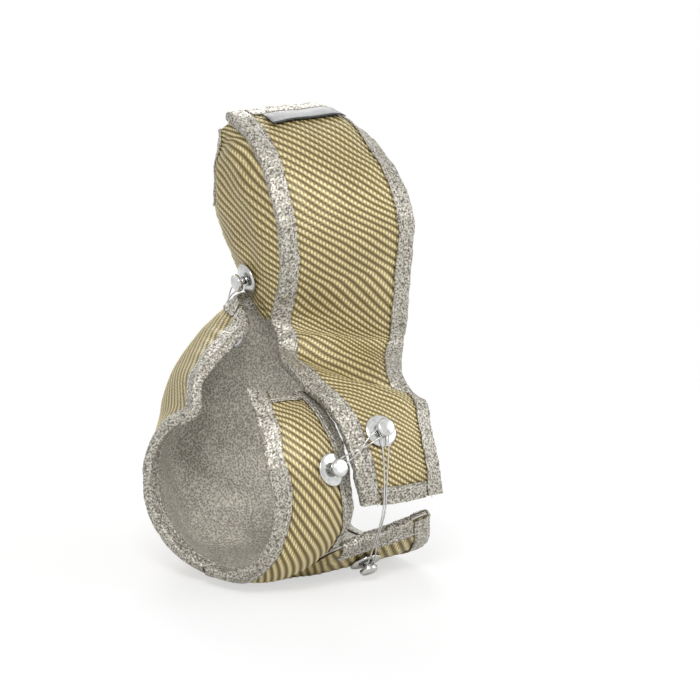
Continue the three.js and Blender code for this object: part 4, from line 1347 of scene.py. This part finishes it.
class BLANKET_OT_stage(bpy.types.Operator):
    """Makes the camera, the lamps, the world and the pale floor"""

    bl_idname = "blanket.stage"
    bl_label = "Make Stage"

    def execute(self, context):
        scene, values = context.scene, context.scene.blanket_stage
        scene.view_settings.view_transform = "Standard"
        camera = bpy.data.objects.new("camera", bpy.data.cameras.new("camera"))
        scene.collection.objects.link(camera)
        a, e = values.azimuth, values.elevation
        back = Vector((math.sin(a) * math.cos(e), -math.cos(a) * math.cos(e), math.sin(e)))
        camera.location = Vector(values.aim) + back * values.distance
        camera.rotation_euler = back.to_track_quat("Z", "Y").to_euler()
        camera.data.lens = values.lens
        camera.data.sensor_width = 36
        camera.data.clip_end = 20
        scene.camera = camera
        centre = Vector((0, 0, 0.11))
        for name, place, size, power in LAMPS:
            data = bpy.data.lights.new(name, "AREA")
            data.size = size
            data.energy = power * values.light
            lamp = bpy.data.objects.new(name, data)
            lamp.location = Vector(place)
            lamp.rotation_euler = (lamp.location - centre).to_track_quat("Z", "Y").to_euler()
            scene.collection.objects.link(lamp)
        self.make_world(scene)
        self.make_floor(scene, values)
        return {"FINISHED"}

    def make_world(self, scene):
        world = bpy.data.worlds.new("pale_room")
        world.use_nodes = True
        tree = world.node_tree
        background = tree.nodes["Background"]
        path = tree.nodes.new("ShaderNodeLightPath")
        seen = node(tree, "ShaderNodeMath", operation="MAXIMUM")
        tree.links.new(path.outputs["Is Camera Ray"], seen.inputs[0])
        tree.links.new(path.outputs["Is Glossy Ray"], seen.inputs[1])
        also = node(tree, "ShaderNodeMath", {0: seen.outputs[0]}, operation="MAXIMUM")
        tree.links.new(path.outputs["Is Transmission Ray"], also.inputs[1])
        strength = node(tree, "ShaderNodeMapRange", {"Value": also.outputs[0]})
        strength.inputs["To Min"].default_value = 0.55
        strength.inputs["To Max"].default_value = 1.0
        background.inputs["Color"].default_value = (1, 1, 1, 1)
        tree.links.new(strength.outputs["Result"], background.inputs["Strength"])
        scene.world = world

    def make_floor(self, scene, values):
        half, level = 3.0, -0.0003
        corners = [(-half, -half, level), (half, -half, level), (half, half, level), (-half, half, level)]
        mesh = bpy.data.meshes.new("floor")
        mesh.from_pydata(corners, [], [(0, 1, 2, 3)])
        material = bpy.data.materials.new("pale_floor")
        material.use_nodes = True
        tree = material.node_tree
        shader = tree.nodes["Principled BSDF"]
        shader.inputs["Base Color"].default_value = (*values.floor, 1)
        shader.inputs["Roughness"].default_value = 0.9
        glow = node(tree, "ShaderNodeEmission", Strength=1.0)
        path = tree.nodes.new("ShaderNodeLightPath")
        where = node(tree, "ShaderNodeTexCoord").outputs["Object"]
        away = node(tree, "ShaderNodeVectorMath", {"Vector": where}, operation="LENGTH")
        fade = node(tree, "ShaderNodeMapRange", {"Value": away.outputs["Value"]})
        for socket, value in (("From Min", 0.16), ("From Max", 0.5), ("To Min", 0.6), ("To Max", 1.0)):
            fade.inputs[socket].default_value = value
        share = node(tree, "ShaderNodeMath", {1: fade.outputs["Result"]}, operation="MULTIPLY")
        tree.links.new(path.outputs["Is Camera Ray"], share.inputs[0])
        both = tree.nodes.new("ShaderNodeMixShader")
        tree.links.new(share.outputs[0], both.inputs[0])
        tree.links.new(shader.outputs[0], both.inputs[1])
        tree.links.new(glow.outputs[0], both.inputs[2])
        tree.links.new(both.outputs[0], tree.nodes["Material Output"].inputs["Surface"])
        mesh.materials.append(material)
        floor = bpy.data.objects.new("floor", mesh)
        scene.collection.objects.link(floor)


class BLANKET_OT_padding(bpy.types.Operator):
    """Makes the fibre core and the wire-faced lining of each panel"""

    bl_idname = "blanket.padding"
    bl_label = "Make Padding and Linings"

    def execute(self, context):
        core_top = FACE + LAYER_GAP
        felt = finish("needled_silica_felt", felt_material)
        lining = finish("wire_faced_lining", lining_material)
        for name, panel in PANELS.items():
            points, faces = slab(panel, CORE_GRID, core_top, lambda p, u, v: core_top + p.core(u, v))
            core = make_object(f"{name}_padding", points, faces, felt)
            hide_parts(f"{name}_core")
            points, faces = slab(
                panel,
                LINING_GRID,
                lambda p, u, v: core_top + p.core(u, v) + LAYER_GAP,
                lambda p, u, v: stack_of(p.core(u, v)),
            )
            sheet = make_object(f"{name}_lining", points, faces, lining)
            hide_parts(f"{name}_liner")
            width, length, area = flat_size(panel)
        return {"FINISHED"}


class BLANKET_OT_cloth(bpy.types.Operator):
    """Makes the woven face of each panel"""

    bl_idname = "blanket.cloth"
    bl_label = "Make Woven Cloth"

    def execute(self, context):
        for name, panel in PANELS.items():
            cloth = make_cloth(name, panel)
            width, length, area = flat_size(panel)
        return {"FINISHED"}


class BLANKET_OT_tapes(bpy.types.Operator):
    """Makes the knitted tapes folded round the edges, and their stitches"""

    bl_idname = "blanket.tapes"
    bl_label = "Make Edge Tapes"

    def execute(self, context):
        sewing = context.scene.blanket_stitching
        values = {"Spacing": sewing.spacing, "Stitch Length": sewing.stitch, "Thread Radius": sewing.thread}
        lines = []
        for name, (panel, places) in tape_plan().items():
            _, sewn = make_tape(name, panel, places)
            lines += sewn
        make_stitches("tape_stitches", lines, values)
        return {"FINISHED"}


class BLANKET_OT_anchors(bpy.types.Operator):
    """Makes the capped posts and their washers"""

    bl_idname = "blanket.anchors"
    bl_label = "Make Lacing Anchors"

    def execute(self, context):
        roughness = context.scene.blanket_finish.steel_roughness
        steel = finish("pressed_stainless", steel_material, "pressed_stainless", roughness)
        for name, anchor in make_anchors().items():
            for part, profile in anchor.profiles().items():
                points, faces = turned(profile, anchor.seat, anchor.axis)
                obj = make_object(f"{name}_{part}_turned", points, faces, steel)
                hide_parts(f"{name}_{part}")
        return {"FINISHED"}


class BLANKET_OT_wires(bpy.types.Operator):
    """Makes the lacing wires between the anchors"""

    bl_idname = "blanket.wires"
    bl_label = "Make Lacing Wires"

    def execute(self, context):
        anchors = make_anchors()
        flap, outlet, belly = (anchors[f"{k}_anchor"] for k in ("flap", "outlet", "belly"))
        cheek, neck = anchors["cheek_anchor"], anchors["neck_anchor"]

        def crossing(a, b):
            return [(lifted(a, b, 0.42, 1.6), 0.6, 0.5), (lifted(a, b, 0.66, 0.8), -1.3, 0.0)]

        def down(a, b):
            places = (
                (9.1, FLAP_RADIUS + 6.8, 8),
                (8.9, FLAP_RADIUS + 5.4, -4.5),
                (11.5, FRONT_RADIUS + 8, -24),
            )
            return [(np.array(on_scroll(*p)), 0.65, 0.0) for p in places]

        def behind(a, b):
            return [(lifted(a, b, 0.35, 4), 1.5, 0.0), (lifted(a, b, 0.65, 4), 1.5, 0.0)]

        steel = finish("drawn_stainless_wire", steel_material, "drawn_stainless_wire", 0.25)
        paths = {
            "flap_to_outlet": wire_path(outlet, flap, False, crossing),
            "flap_to_belly": wire_path(flap, belly, True, down),
            "cheek_to_neck": wire_path(cheek, neck, False, behind),
        }
        for name, path in paths.items():
            points, faces = tube(path, WIRE_RADIUS * WIRE_SHARE)
            obj = make_object(f"{name}_lacing", points, faces, steel)
            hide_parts(f"{name}_wire")
        return {"FINISHED"}


class BLANKET_OT_label(bpy.types.Operator):
    """Makes the bare label on the top of the hood"""

    bl_idname = "blanket.label"
    bl_label = "Make Label"

    def execute(self, context):
        length, width, thickness, lift, middle = 40.0, 13.0, 0.9, 0.45, 0.52
        low = (TAPE_WIDTH + END_CLEARANCE) / COVER.start
        high = low + width / COVER.start
        speed = COVER.speed_u(np.array([0.5]), np.array([low]))[0]
        s, t = np.linspace(-1, 1, 61), np.linspace(0, 1, 23)
        tt, ss = np.meshgrid(t, s, indexing="ij")
        u = middle + ss.ravel() * length / 2 / speed
        v = low + (high - low) * tt.ravel()
        edge = np.minimum((1 - np.abs(ss)) * length / 2, np.minimum(tt, 1 - tt) * width)
        round_off = 0.35 * (1 - smooth(edge, 0, 0.9)).ravel()
        curl = 0.9 * (np.abs(ss) ** 3 * 0.4 + tt**2).ravel()
        layers = [-lift - thickness + round_off - curl, -lift - round_off - curl]
        points = np.concatenate([COVER.place(u, v, depth) for depth in layers])
        faces = layer_faces(*tt.shape)
        uv = np.tile(np.stack([ss.ravel() * length / 2, tt.ravel() * width], axis=1), (2, 1))
        ribbon = finish("black_woven_ribbon", label_material)
        obj = make_object("label_ribbon", points, faces, ribbon, uv=uv)
        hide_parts("label_tab")
        return {"FINISHED"}


OPERATORS = (
    BLANKET_OT_stage,
    BLANKET_OT_padding,
    BLANKET_OT_cloth,
    BLANKET_OT_tapes,
    BLANKET_OT_anchors,
    BLANKET_OT_wires,
    BLANKET_OT_label,
)


class BLANKET_PT_panel(bpy.types.Panel):
    """Lists the pieces of the blanket"""

    bl_label = "Heat Blanket"
    bl_idname = "BLANKET_PT_panel"
    bl_space_type = "VIEW_3D"
    bl_region_type = "UI"
    bl_category = "Heat Blanket"

    def draw(self, context):
        for group in ("blanket_finish", "blanket_stitching", "blanket_stage"):
            values = getattr(context.scene, group)
            for key in values.bl_rna.properties.keys():
                if key not in ("rna_type", "name"):
                    self.layout.prop(values, key)
        for operator in OPERATORS:
            self.layout.operator(operator.bl_idname)


GROUPS = {
    "blanket_finish": BlanketFinish,
    "blanket_stitching": BlanketStitching,
    "blanket_stage": BlanketStage,
}


def register():
    for cls in (*GROUPS.values(), *OPERATORS, BLANKET_PT_panel):
        bpy.utils.register_class(cls)
    for name, cls in GROUPS.items():
        setattr(bpy.types.Scene, name, bpy.props.PointerProperty(type=cls))


def unregister():
    for name in GROUPS:
        delattr(bpy.types.Scene, name)
    for cls in (BLANKET_PT_panel, *reversed(OPERATORS), *reversed(GROUPS.values())):
        bpy.utils.unregister_class(cls)


def main():
    register()
    for operator in OPERATORS:
        group, name = operator.bl_idname.split(".")
        getattr(getattr(bpy.ops, group), name)()


if __name__ == "__main__":
    main()
